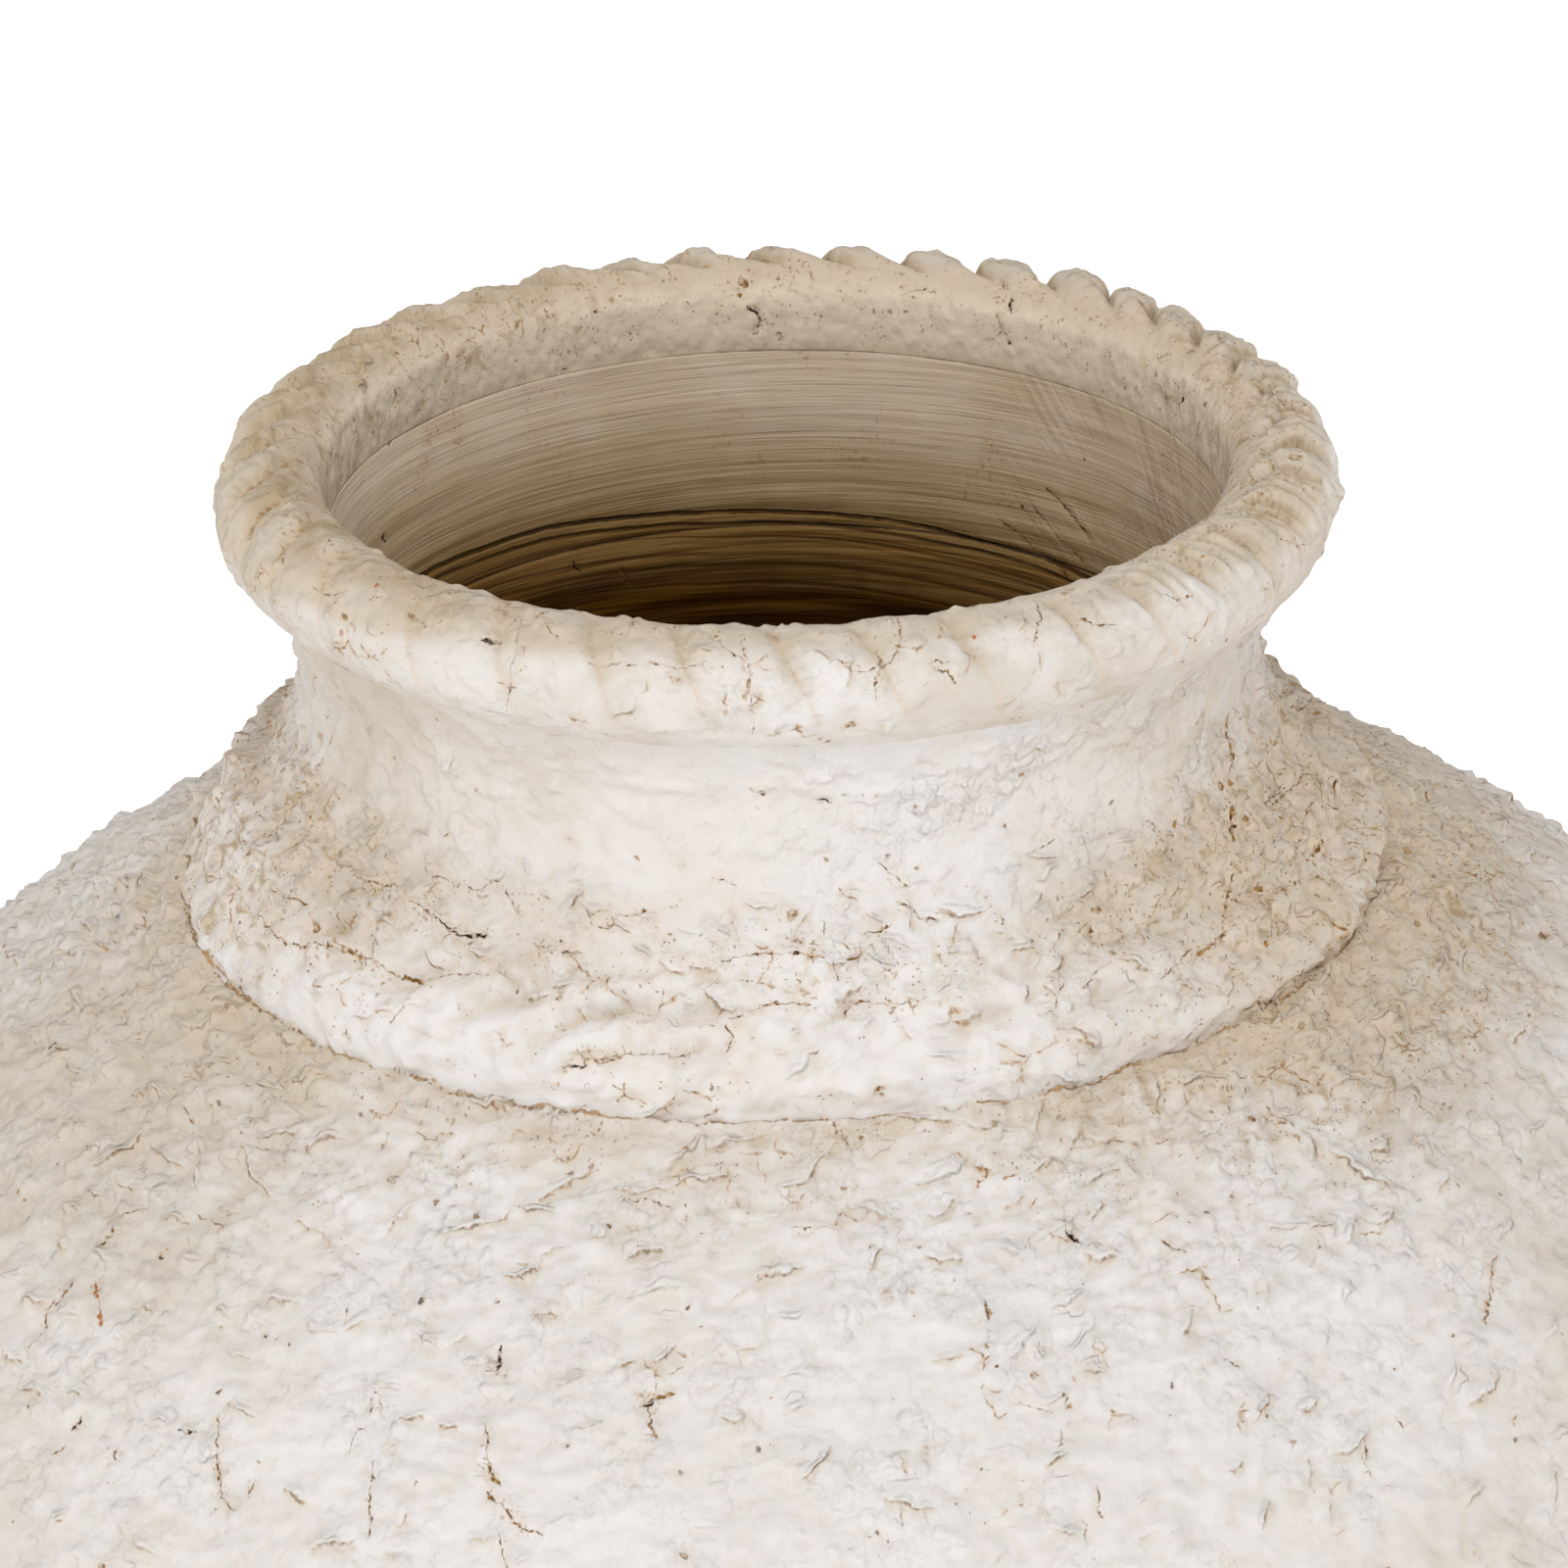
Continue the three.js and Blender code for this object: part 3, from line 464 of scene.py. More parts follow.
PITS = [
    ('k', 0.80, 1.00, (50.6, 76.7, 488.0)),
    ('k', 0.80, 1.00, (-38.1, 84.7, 493.7)),
    ('k', 0.80, 1.00, (84.7, 35.2, 490.4)),
    ('b', 0.70, 0.80, (79.8, 46.0, 491.8)),
    ('b', 0.70, 0.80, (74.3, 54.1, 485.8)),
    ('b', 0.70, 0.80, (-7.1, 92.8, 493.8)),
    ('b', 0.70, 0.80, (-102.2, -14.4, 500.0)),
    ('b', 0.70, 0.80, (-85.7, 40.3, 495.9)),
    ('b', 0.70, 0.80, (-79.5, 46.2, 491.2)),
    ('b', 0.70, 0.80, (-87.2, 29.6, 491.6)),
    ('b', 0.70, 0.80, (95.1, 6.5, 497.1)),
    ('b', 0.50, 0.60, (21.7, 89.1, 490.6)),
    ('b', 0.50, 0.60, (25.2, 88.3, 491.0)),
    ('b', 0.50, 0.60, (28.8, 87.3, 491.1)),
    ('b', 0.50, 0.60, (-107.1, -8.5, 496.8)),
    ('b', 0.50, 0.60, (62.7, 67.1, 487.9)),
    ('b', 0.50, 0.60, (59.7, 70.0, 491.3)),
    ('b', 0.50, 0.60, (66.7, 63.2, 487.8)),
    ('o', 0.70, 0.90, (96.6, 35.1, 498.3)),
    ('o', 0.70, 0.90, (-76.6, -75.5, 498.8)),
    ('o', 0.70, 0.90, (-105.7, -24.0, 496.6)),
    ('o', 0.55, 0.90, (36.9, -101.5, 497.5)),
    ('o', 0.55, 0.90, (18.8, -111.3, 484.4)),
    ('o', 0.60, 0.50, (-83.2, -76.5, 490.1)),
    ('k', 0.80, 0.90, (-70.2, -83.7, 496.1)),
    ('b', 0.80, 0.70, (-81.1, 42.1, 481.6)),
    ('b', 0.80, 0.70, (52.8, 70.8, 451.9)),
    ('b', 0.60, 0.50, (65.5, 59.5, 467.3)),
    ('k', 0.45, 0.70, (-3.6, -99.7, 465.1)),
    ('k', 0.45, 0.70, (12.0, -99.0, 464.6)),
    ('k', 0.45, 0.70, (17.8, -97.8, 463.8)),
    ('k', 0.45, 0.70, (86.5, -71.6, 483.0)),
    ('k', 0.45, 0.70, (108.7, -12.5, 420.7)),
    ('k', 0.45, 0.70, (109.7, 20.1, 425.2)),
    ('k', 0.45, 0.70, (112.9, -15.3, 423.0)),
    ('b', 0.50, 0.60, (-28.2, -93.9, 448.9)),
    ('b', 0.50, 0.60, (8.2, -97.4, 449.6)),
    ('b', 0.50, 0.60, (19.7, -95.8, 449.5)),
    ('b', 0.50, 0.60, (25.4, -95.1, 446.5)),
    ('b', 0.50, 0.60, (92.9, -30.7, 456.0)),
    ('b', 0.50, 0.60, (46.2, -87.5, 462.3)),
    ('b', 0.50, 0.60, (64.2, -73.9, 449.7)),
    ('b', 0.50, 0.60, (42.5, -88.2, 452.2)),
    ('b', 0.50, 0.60, (52.4, -82.7, 449.2)),
    ('b', 0.50, 0.60, (96.6, -39.2, 432.6)),
    ('b', 0.50, 0.60, (82.8, -62.0, 433.8)),
    ('b', 0.50, 0.60, (80.3, -60.6, 439.8)),
    ('b', 0.50, 0.60, (-111.9, -3.1, 422.1)),
    ('b', 0.50, 0.60, (-100.5, -19.5, 434.2)),
    ('b', 0.50, 0.60, (-111.5, -21.6, 420.3)),
    ('b', 0.50, 0.60, (25.5, -94.8, 459.5)),
    ('b', 0.70, 0.60, (-59.1, -78.1, 457.2)),
    ('b', 0.70, 0.60, (-85.4, -49.8, 444.1)),
    ('b', 0.70, 0.60, (-76.5, -61.4, 456.1)),
    ('k', 0.60, 0.80, (58.7, -88.7, 428.2)),
    ('k', 0.60, 0.80, (2.2, -103.7, 432.5)),
    ('k', 0.60, 0.80, (-42.6, -94.8, 431.5)),
    ('k', 0.60, 0.80, (-126.1, -1.1, 400.4)),
    ('b', 0.60, 0.60, (-93.6, -105.5, 392.3)),
    ('b', 0.60, 0.60, (-91.1, -112.3, 390.0)),
    ('b', 0.60, 0.60, (-59.7, -132.3, 390.7)),
    ('b', 0.60, 0.60, (-41.8, -127.6, 397.5)),
    ('b', 0.60, 0.60, (-67.6, -126.4, 391.4)),
    ('b', 0.60, 0.60, (14.8, -147.6, 390.6)),
    ('b', 0.60, 0.60, (24.1, -147.0, 390.7)),
    ('b', 0.60, 0.60, (22.5, -155.4, 385.9)),
    ('b', 0.60, 0.60, (36.8, -157.7, 382.9)),
    ('b', 0.60, 0.60, (36.0, -164.2, 378.8)),
    ('b', 0.60, 0.60, (51.2, -172.2, 371.1)),
    ('b', 0.60, 0.60, (14.7, -193.6, 357.6)),
    ('b', 0.60, 0.60, (39.0, -122.3, 402.9)),
    ('b', 0.60, 0.60, (51.8, -118.1, 402.7)),
    ('b', 0.60, 0.60, (64.2, -110.9, 403.4)),
    ('b', 0.60, 0.60, (86.8, -92.2, 404.7)),
    ('b', 0.60, 0.60, (84.3, -98.5, 403.1)),
    ('b', 0.60, 0.60, (106.5, -80.5, 401.5)),
    ('b', 0.60, 0.60, (9.7, -135.7, 397.7)),
    ('b', 0.60, 0.60, (12.1, -135.9, 397.5)),
    ('b', 0.60, 0.60, (-154.2, -78.7, 369.7)),
    ('b', 0.60, 0.60, (-152.7, -82.0, 369.7)),
    ('k', 0.50, 0.70, (-34.0, -140.2, 391.7)),
    ('k', 0.50, 0.70, (-112.1, -120.7, 377.0)),
    ('k', 0.50, 0.70, (-122.0, -115.7, 374.1)),
    ('k', 0.50, 0.70, (117.7, -55.3, 403.5)),
    ('k', 0.50, 0.70, (50.0, -171.0, 372.3)),
    ('k', 0.50, 0.70, (-55.7, -149.6, 381.8)),
    ('k', 0.50, 0.70, (-69.7, -146.2, 380.1)),
    ('k', 0.50, 0.70, (-95.3, -145.2, 371.3)),
    ('k', 0.50, 0.70, (-145.2, -116.0, 360.1)),
    ('k', 0.50, 0.70, (-19.4, -156.4, 384.2)),
    ('k', 0.50, 0.70, (-108.8, -148.2, 362.6)),
    ('k', 0.50, 0.70, (-100.6, -141.0, 371.4)),
    ('k', 0.50, 0.70, (22.5, -155.4, 385.9)),
    ('k', 0.45, 0.55, (-149.7, -147.6, 335.0)),
    ('k', 0.45, 0.55, (-70.4, -175.7, 359.1)),
    ('k', 0.45, 0.55, (-42.2, -176.2, 366.7)),
    ('k', 0.45, 0.55, (-6.7, -180.7, 368.2)),
    ('k', 0.45, 0.55, (14.6, -193.6, 357.6)),
    ('k', 0.45, 0.55, (24.4, -180.8, 367.9)),
    ('k', 0.45, 0.55, (34.3, -183.7, 364.4)),
    ('k', 0.45, 0.55, (70.9, -165.5, 371.2)),
    ('k', 0.45, 0.55, (88.4, -166.7, 364.4)),
    ('k', 0.45, 0.55, (113.9, -150.9, 364.9)),
    ('k', 0.45, 0.55, (126.1, -140.3, 365.8)),
    ('k', 0.45, 0.55, (137.3, -152.1, 349.9)),
    ('k', 0.45, 0.55, (143.0, -136.7, 357.7)),
    ('k', 0.45, 0.55, (79.5, -131.8, 389.1)),
    ('k', 0.45, 0.55, (112.4, -121.9, 382.9)),
    ('k', 0.45, 0.55, (-146.1, -77.7, 375.3)),
    ('k', 0.45, 0.55, (-147.1, -130.8, 350.1)),
    ('k', 0.45, 0.55, (-19.8, -138.4, 394.9)),
    ('k', 0.45, 0.55, (-83.0, -102.2, 398.0)),
    ('k', 0.45, 0.55, (-111.2, -87.1, 391.7)),
    ('k', 0.45, 0.55, (-148.6, -27.7, 384.5)),
    ('k', 0.45, 0.55, (34.9, -191.5, 357.9)),
    ('k', 0.45, 0.55, (29.6, -189.2, 360.6)),
    ('b', 1.30, 0.90, (107.0, -17.2, 423.4)),
    ('b', 1.50, 0.90, (113.9, -12.7, 422.4)),
    ('k', 0.70, 0.90, (113.7, -10.9, 422.9)),
    ('k', 0.60, 0.80, (109.5, -8.0, 420.4)),
    ('b', 1.40, 0.90, (108.0, 25.0, 424.1)),
    ('b', 1.10, 0.80, (112.6, 25.5, 421.5)),
    ('b', 1.60, 0.90, (129.7, -4.9, 404.0)),
    ('k', 0.70, 0.80, (129.1, -6.4, 404.3)),
    ('b', 1.50, 0.90, (94.9, -60.6, 424.0)),
    ('k', 0.70, 0.90, (94.8, -65.5, 421.8)),
    ('b', 1.20, 0.90, (80.3, -60.8, 439.7)),
    ('b', 1.00, 0.80, (58.7, -88.1, 429.0)),
    ('k', 0.70, 0.90, (58.9, -88.5, 428.3)),
    ('b', 1.20, 0.80, (90.7, -83.4, 406.1)),
    ('b', 1.00, 0.80, (76.9, -64.7, 439.9)),
    ('b', 1.00, 0.80, (89.0, -46.4, 440.1)),
    ('k', 0.60, 0.90, (88.6, -53.5, 433.7)),
    ('b', 1.00, 0.80, (89.7, -67.6, 424.3)),
    ('b', 1.20, 0.80, (96.0, -72.0, 417.6)),
    ('b', 0.90, 0.70, (126.4, 34.7, 403.2)),
    ('b', 1.10, 0.80, (136.2, 90.0, 384.9)),
    ('b', 0.90, 0.80, (133.8, -14.0, 401.5)),
    ('b', 1.10, 0.80, (127.8, -37.6, 402.0)),
    ('b', 1.00, 0.80, (117.2, -54.4, 404.0)),
    ('b', 0.90, 0.80, (106.4, -77.1, 402.6)),
    ('k', 0.50, 0.90, (120.9, -41.8, 404.7)),
    ('b', 1.00, 0.90, (100.0, -83.9, 402.9)),
]
STROKES = [
    (2.6, 1.0, [(-64.5, -98.7, 416.7), (-58.4, -98.5, 420.1), (-52.6, -99.4, 422.1), (-47.6, -100.1, 423.9)]),
    (2.6, 1.1, [(-50.4, -108.7, 413.7), (-47.7, -107.7, 416.7), (-43.4, -106.6, 419.7), (-38.6, -106.6, 421.5), (-30.6, -107.2, 423.5), (-25.5, -108.6, 423.3)]),
    (2.4, 0.9, [(-21.2, -110.7, 422.2), (-15.5, -110.7, 423.7), (-6.1, -110.3, 425.0)]),
    (3.0, 0.9, [(1.9, -114.3, 421.2), (8.3, -112.7, 422.4), (11.2, -111.1, 423.8), (17.9, -105.9, 424.6), (30.9, -102.9, 424.5), (45.3, -97.7, 424.1)]),
    (2.4, 0.9, [(-93.5, -64.6, 420.2), (-87.5, -69.5, 422.9), (-81.7, -68.5, 423.4)]),
    (2.4, 0.7, [(-78.1, -86.7, 417.9), (-71.2, -88.6, 420.7), (-63.3, -90.0, 424.7)]),
    (2.6, 0.7, [(29.6, -113.6, 418.8), (37.3, -109.1, 420.5), (46.9, -104.7, 421.4)]),
    (2.6, 0.6, [(52.5, -105.7, 418.4), (60.4, -99.8, 419.9), (70.3, -93.0, 420.1)]),
    (2.2, 0.7, [(-91.4, -73.7, 417.1), (-84.3, -78.9, 418.4), (-77.2, -85.4, 419.4)]),
    (2.0, 0.6, [(-73.2, -94.6, 413.3), (-67.2, -99.9, 413.3), (-62.4, -101.5, 414.5)]),
    (2.4, 0.6, [(-21.3, -116.1, 417.3), (-15.6, -115.8, 418.7), (-8.0, -113.0, 421.3)]),
    (3.4, 0.6, [(36.1, -101.3, 424.4), (55.1, -92.1, 425.3), (76.8, -80.6, 425.1), (98.0, -54.8, 424.3)]),
]
# The collar's foot, as a change of radius by angle.
SEAM_EDGE_DEG = [-180, -172, -158, -142, -129, -117, -103, -95, -86, -77, -71, -65, -55, -50, -42, -27, -19, -11, 0, 9, 30, 90, 150, 180]
SEAM_EDGE_R = [1.8, 2.0, 1.8, 0.9, 0.1, -0.3, -0.8, -1.6, -1.5, -1.2, -0.3, -0.2, -1.4, -0.7, 0.1, -0.2, -1.1, -1.6, -2.2, -2.2, -0.8, 0.2, 1.0, 1.8]

# ---------------------------------------------------------------- cracks and pits
def spread(cracks, groups=3, apart=7.0):
    """Sorts cracks into groups, so that cracks in one group keep clear of each other."""
    picked = []
    for c in cracks:
        pts = np.array(c[3])
        taken = {g for g, other in picked if np.min(np.linalg.norm(pts[:, None] - other[None], axis=2)) < apart}
        free = [g for g in range(groups) if g not in taken]
        picked.append((free[0] if free else groups - 1, pts))
    return [g for g, _ in picked]


CRACK_GROUP = spread(CRACKS)


def lay_features(surf):
    """Gives a surface the signed distance to the cracks near it and the offset from the nearest pit, and cuts both in."""
    shape = surf.base.shape[:2]
    p = settle(surf.base).reshape(-1, 3)
    n = surf.n.reshape(-1, 3)
    cut = np.zeros(len(p))
    for group in range(3):
        dist = np.full(len(p), 99.0)
        sign = np.ones(len(p))
        width = np.ones(len(p)) * 0.4
        power = np.zeros(len(p))
        tint = np.zeros(len(p))
        for (kind, w, s, pts), g in zip(CRACKS, CRACK_GROUP):
            if g != group:
                continue
            pts = np.array(pts)
            lo, hi = pts.min(0) - 6, pts.max(0) + 6
            near = np.where(((p > lo) & (p < hi)).all(1))[0]
            if not len(near):
                continue
            q, m = p[near], n[near]
            for k in range(len(pts) - 1):
                a, b = pts[k], pts[k + 1]
                e = (b - a) - m * ((b - a) * m).sum(1)[:, None]
                d = (q - a) - m * ((q - a) * m).sum(1)[:, None]
                ee = np.maximum((e * e).sum(1), 1e-6)
                t = (d * e).sum(1) / ee
                tc = np.clip(t, 0, 1)
                off = d - e * tc[:, None]
                dd = np.linalg.norm(off, axis=1) + 0.5 * np.maximum(0, np.abs(((q - a) * m).sum(1)) - 3)
                sg = np.sign((np.cross(e, d) * m).sum(1))
                past = np.zeros(len(near))
                if k == 0:
                    past = np.maximum(past, -t * np.sqrt(ee))
                if k == len(pts) - 2:
                    past = np.maximum(past, (t - 1) * np.sqrt(ee))
                better = dd < dist[near]
                ix = near[better]
                dist[ix], sign[ix], width[ix] = dd[better], sg[better], w
                power[ix] = s * smooth(1.1, 0.1, past[better]) * smooth(4.5, 3.5, dd[better])
                tint[ix] = {"b": 0.0, "k": 1.0, "o": -1.0}[kind]
        surf.attrs["crack%d" % group] = np.stack([np.clip(sign * dist, -6, 6), power, tint], -1).reshape(*shape, 3)
        surf.attrs["wide%d" % group] = width.reshape(shape)
        cut += 0.75 * np.minimum(width, 0.6) * power * np.exp(-((dist / (0.4 + 0.7 * width)) ** 2))
        cut -= 0.22 * power * np.exp(-(((dist - 1.3) / 0.8) ** 2)) * (sign > 0)
    c = np.array([x[3] for x in PITS])
    rad = 0.54 * np.array([x[1] for x in PITS])
    pw = np.array([x[2] for x in PITS])
    kd = np.array([{"b": 0.0, "k": 1.0, "o": -1.0}[x[0]] for x in PITS])
    best = np.full(len(p), 1e9)
    who = np.zeros(len(p), int)
    for k in range(len(c)):
        d = ((p - c[k]) ** 2).sum(1)
        near = d < best
        best[near], who[near] = d[near], k
    off = p - c[who]
    off -= n * (off * n).sum(1)[:, None]
    best = np.sqrt(best)
    power = pw[who] * smooth(4.4, 3.2, best)
    surf.attrs["pit"] = (off / rad[who][:, None]).reshape(*shape, 3)
    surf.attrs["pit_info"] = np.stack([power, kd[who], rad[who]], -1).reshape(*shape, 3)
    cut += 0.75 * power * rad[who] * np.exp(-((best / (1.1 * rad[who] + 0.2)) ** 2)) * (kd[who] >= 0)
    surf.h = surf.h - cut.reshape(shape)


def cavity(surf, rows=2, cols=3):
    """How far a point lies below the surface around it, as an attribute for the khaki that the wash puts in hollows,
    partly dirt and partly painted shade.
    """
    surf.attrs["cavity"] = np.clip((blur(surf.h, rows, cols) - surf.h) / 0.3, -1.5, 1.5)


# ---------------------------------------------------------------- the body's upper section: shoulder, belly and stub
def azimuths(front, back):
    """Column angles, closest together at the front, from front and back spacing in degrees."""
    out, a = [], -180.0
    while a < 180:
        out.append(a)
        away = abs(angle_gap(a, -90)) / 180
        a += front + (back - front) * smooth(0.45, 0.75, away)
    out = np.array(out)
    return np.radians(-180 + (out + 180) * 360 / (out[-1] + 180 + front + (back - front)))


def even(n):
    return np.radians(np.arange(n) * 360.0 / n - 180)


def pillows(q, size, seed):
    """Rounded pads with a crease between them, 0 to about 1."""
    return np.abs(perlin(q / size, seed)) ** 0.85


def plaster(p, near, seed, run=None):
    """The lime wash's wide unevenness, its soft pads and its small lumps. With run, pads that lie along the turning."""
    warp = np.stack([perlin(p / 12, seed + 1), perlin(p / 12, seed + 2), perlin(p / 12, seed + 3)], -1)
    q = p + 3.0 * warp
    patch = 0.6 + 0.4 * smooth(-0.3, 0.35, fbm(p, 30, 2, seed + 4))
    wide = 0.8 * fbm(p, 80, 2, seed + 5) + 0.6 * fbm(p, 24, 2, seed + 6)
    pads = 0.8 * pillows(q, 11.0, seed + 8) + 0.5 * pillows(q, 5.6, seed + 11)
    h = wide + patch * (0.7 + 0.4 * near) * (pads - 0.3) + 0.08 * fbm(q, 3.0, 2, seed + 14)
    if run is not None:
        for a, b, k, tall in ((9.0, 3.6, 15, 1.9), (5.5, 2.2, 18, 1.15)):
            w = np.concatenate([q[..., :2] / a, (run[:, None, None] + 1.6 * warp[..., :1]) / b], -1)
            h = h + tall * (0.3 + 0.7 * near) * patch * (pillows(w, 1.0, seed + k) - 0.3)
    return h


def coat(f, rough):
    """The relief that neck, collar and lip share, so that it runs on from one to the next."""
    warp = np.stack([perlin(f / 12, 201), perlin(f / 12, 202), perlin(f / 12, 203)], -1)
    q = f + 2.5 * warp
    pads = 0.8 * pillows(q, 10.0, 205) + 0.5 * pillows(q, 4.8, 209)
    return 0.6 * fbm(f, 60, 2, 211) + 0.45 * fbm(f, 20, 2, 213) + rough * (pads - 0.4) + 0.12 * fbm(q, 2.8, 2, 215)


def dabs(surf, area, seed, size, tall, where=None, turn=0.0, spread=26.0, wide=1.5, curl=0.15, mark=True):
    """Lumps in the coat that rise gently and fall off at their lower edge. One to every area mm2, weighted by where.

    Adds them to the height. With mark, keeps each point's distance below the nearest edge for the material."""
    rng = np.random.default_rng(seed)
    m, n = surf.h.shape
    r, z, s = surf.p[:, 0], surf.p[:, 1], surf.s
    az = np.radians(surf.deg[0])
    dth = (np.roll(az, -1) - az) % (2 * np.pi)
    cell = np.where(surf.zone == "o", r * np.gradient(s), 0.0)[:, None] * dth[None, :]
    if where is not None:
        cell = cell * where
    total = cell.sum()
    count = int(total / area)
    pick = rng.choice(m * n, size=2 * count, p=(cell / total).ravel())
    fall = -np.sign(np.gradient(z))
    uneven = 0.9 * perlin(surf.base / 3.3, seed) + 0.9 * perlin(surf.base / 7.0, seed + 1)
    outer = (surf.zone == "o")[:, None]
    wide = np.broadcast_to(wide, (m,))
    amp = np.zeros((m, n))
    below = np.full((m, n), -6.0)
    tint = np.zeros((m, n))
    taken = {}
    apart = 0.7 * math.sqrt(area)
    made = 0
    for c in pick:
        if made >= count:
            break
        i, j = divmod(int(c), n)
        at = surf.base[i, j]
        x, y, v = (int(q) for q in at // apart)
        close = [o for dx in (-1, 0, 1) for dy in (-1, 0, 1) for dz in (-1, 0, 1) for o in taken.get((x + dx, y + dy, v + dz), ())]
        if close and min((at[0] - o[0]) ** 2 + (at[1] - o[1]) ** 2 + (at[2] - o[2]) ** 2 for o in close) < apart**2:
            continue
        taken.setdefault((x, y, v), []).append((at[0], at[1], at[2]))
        made += 1
        up = size * rng.uniform(0.6, 1.35)
        w = up * rng.uniform(0.75, 1.3) * wide[i]
        high = tall * rng.uniform(0.25, 1.0) ** 1.3
        phi = math.radians(turn + spread * rng.normal())
        bend = curl * rng.uniform(-0.6, 1.6) / w
        colour = rng.uniform(0, 1)
        reach = 2.0 * max(w, up)
        i0, i1 = np.searchsorted(s, (s[i] - reach, s[i] + reach))
        k = int(reach / max(r[i], 30.0) / dth[j]) + 1
        cols = np.arange(j - k, j + k + 1) % n
        win = np.ix_(np.arange(i0, i1), cols)
        du = (((az[cols] - az[j] + np.pi) % (2 * np.pi) - np.pi) * r[i])[None, :]
        dv = (fall[i] * (s[i0:i1] - s[i]))[:, None]
        co, si = math.cos(phi), math.sin(phi)
        across = du * co + dv * si
        a2 = across**2
        down = dv * co - du * si + bend * a2 + uneven[win]
        low = np.maximum(down, 0)
        lift = high * np.exp(-a2 / w**2 - (np.minimum(down, 0) / up) ** 2 - (low / (0.3 * up + 0.4)) ** 2)
        surf.h[win] += lift * outer[i0:i1]
        if mark:
            here = high * np.exp(-a2 / (0.8 * w * w) - (down / (1.3 * up)) ** 2)
            better = here > amp[win]
            amp[win] = np.where(better, here, amp[win])
            below[win] = np.where(better, down, below[win])
            tint[win] = np.where(better, colour, tint[win])
    if mark:
        surf.attrs["lump"] = np.stack([np.clip(below, -6, 6), amp, tint], -1)


def stained(deg, z, seed=0):
    """How dirty and how beige the neck and the collar are at an angle and a height along their face. The beige is
    partly their own warmer colour and partly painted shade, away from the front and in the fold between neck and
    collar.
    """
    side = smooth(72, 28, np.abs(angle_gap(deg, 2)))
    left = smooth(58, 20, np.abs(angle_gap(deg, 176)))
    foot = smooth(446, 424, z)
    fold = smooth(419, 427, z) * smooth(447, 436, z)
    dirt = 0.2 + 0.28 * foot + 0.2 * fold + 0.5 * side * smooth(468, 446, z) + 0.35 * left * smooth(462, 440, z)
    # beiger away from the front and in the fold between neck and collar: partly warmer colour, partly painted shade
    # where they turn from the light and in the fold
    away_beige_and_shade = smooth(18, 75, np.abs(angle_gap(deg, -98)))
    tone_and_shade = 0.3 * away_beige_and_shade + 0.25 * side + 0.33 * side * foot + 0.2 * fold + 0.28 * left
    tone_and_shade += (0.42 + 0.13 * smooth(425, 440, z)) * smooth(32, 12, np.abs(angle_gap(deg, -129))) * smooth(410, 418, z) + 0.22 * smooth(30, 12, np.abs(angle_gap(deg, -48)))
    return np.clip(dirt, 0, 1), np.clip(tone_and_shade, 0, 1)


def tongue(surf):
    """The sharp fold that hangs from the neck down to the collar on the right."""
    off = angle_gap(surf.deg, np.interp(surf.z, [422, 425, 437, 456, 462], [-5, -5.3, -6.6, -14, -18])) * 1.8
    off = off + 0.8 * perlin(surf.base / 8, 241)
    return smooth(419, 426, surf.z) * smooth(464, 452, surf.z) * (1.7 * np.exp(-((off / 2.0) ** 2)) - 1.3 * np.exp(-(((off - 4.4) / 2.6) ** 2)))


def fingers(surf):
    """The slanting strokes of a finger across the collar and the foot of the neck."""
    p = settle(surf.base)
    p = p + 0.6 * np.stack([perlin(p / 7, 231), perlin(p / 7, 232), perlin(p / 7, 233)], -1)
    h = np.zeros_like(surf.h)
    valley = np.zeros_like(surf.h)
    for w, depth, pts in STROKES:
        pts = np.array(pts)
        seg = np.linalg.norm(np.diff(pts, axis=0), axis=1)
        length = seg.sum()
        best = np.full(surf.h.shape, 99.0)
        along_it = np.zeros(surf.h.shape)
        start = 0.0
        for a, b, g in zip(pts[:-1], pts[1:], seg):
            e = b - a
            t = np.clip(((p - a) @ e) / (e @ e), 0, 1)
            d = np.linalg.norm(p - a - t[..., None] * e, axis=-1)
            along_it = np.where(d < best, start + t * g, along_it)
            best = np.minimum(d, best)
            start += g
        fade = 0.5 + 0.5 * smooth(0, 0.25 * length, along_it) * smooth(length, 0.8 * length, along_it)
        dent = fade * (0.55 * np.exp(-((best / (0.9 * w)) ** 2)) + 0.45 * np.exp(-((best / (0.33 * w)) ** 2)))
        h += -3.0 * depth * dent + 1.5 * depth * fade * np.exp(-(((best - 1.7 * w) / (0.75 * w)) ** 2))
        # where the material paints sand down each stroke's valley, as painted shade in its crease
        valley = np.maximum(valley, depth * fade * np.exp(-((best / (0.38 * w)) ** 2)))
    surf.attrs["valley"] = np.clip(valley, 0, 1)
    return h


def side_beige_and_shade(surf):
    """How much beiger the body gets away from the front, less so towards the belly: partly a warmer colour of its own,
    partly painted shade where the body turns away from the light.
    """
    off = np.abs(angle_gap(surf.deg, -90))
    return (0.42 * smooth(18, 62, off) + 0.3 * smooth(6, 32, off) * smooth(120, 70, off) * np.maximum(smooth(182, 214, surf.r), smooth(42, 20, np.abs(angle_gap(surf.deg, -158))) * smooth(196, 172, surf.r))) * (0.45 + 0.55 * smooth(245, 330, surf.z))


def pressed(surf):
    """Where the fingers smoothed the coat, at the front left of the collar."""
    return smooth(52, 25, np.abs(angle_gap(surf.deg, -118))) * smooth(427, 420, surf.z) * np.ones_like(surf.h)


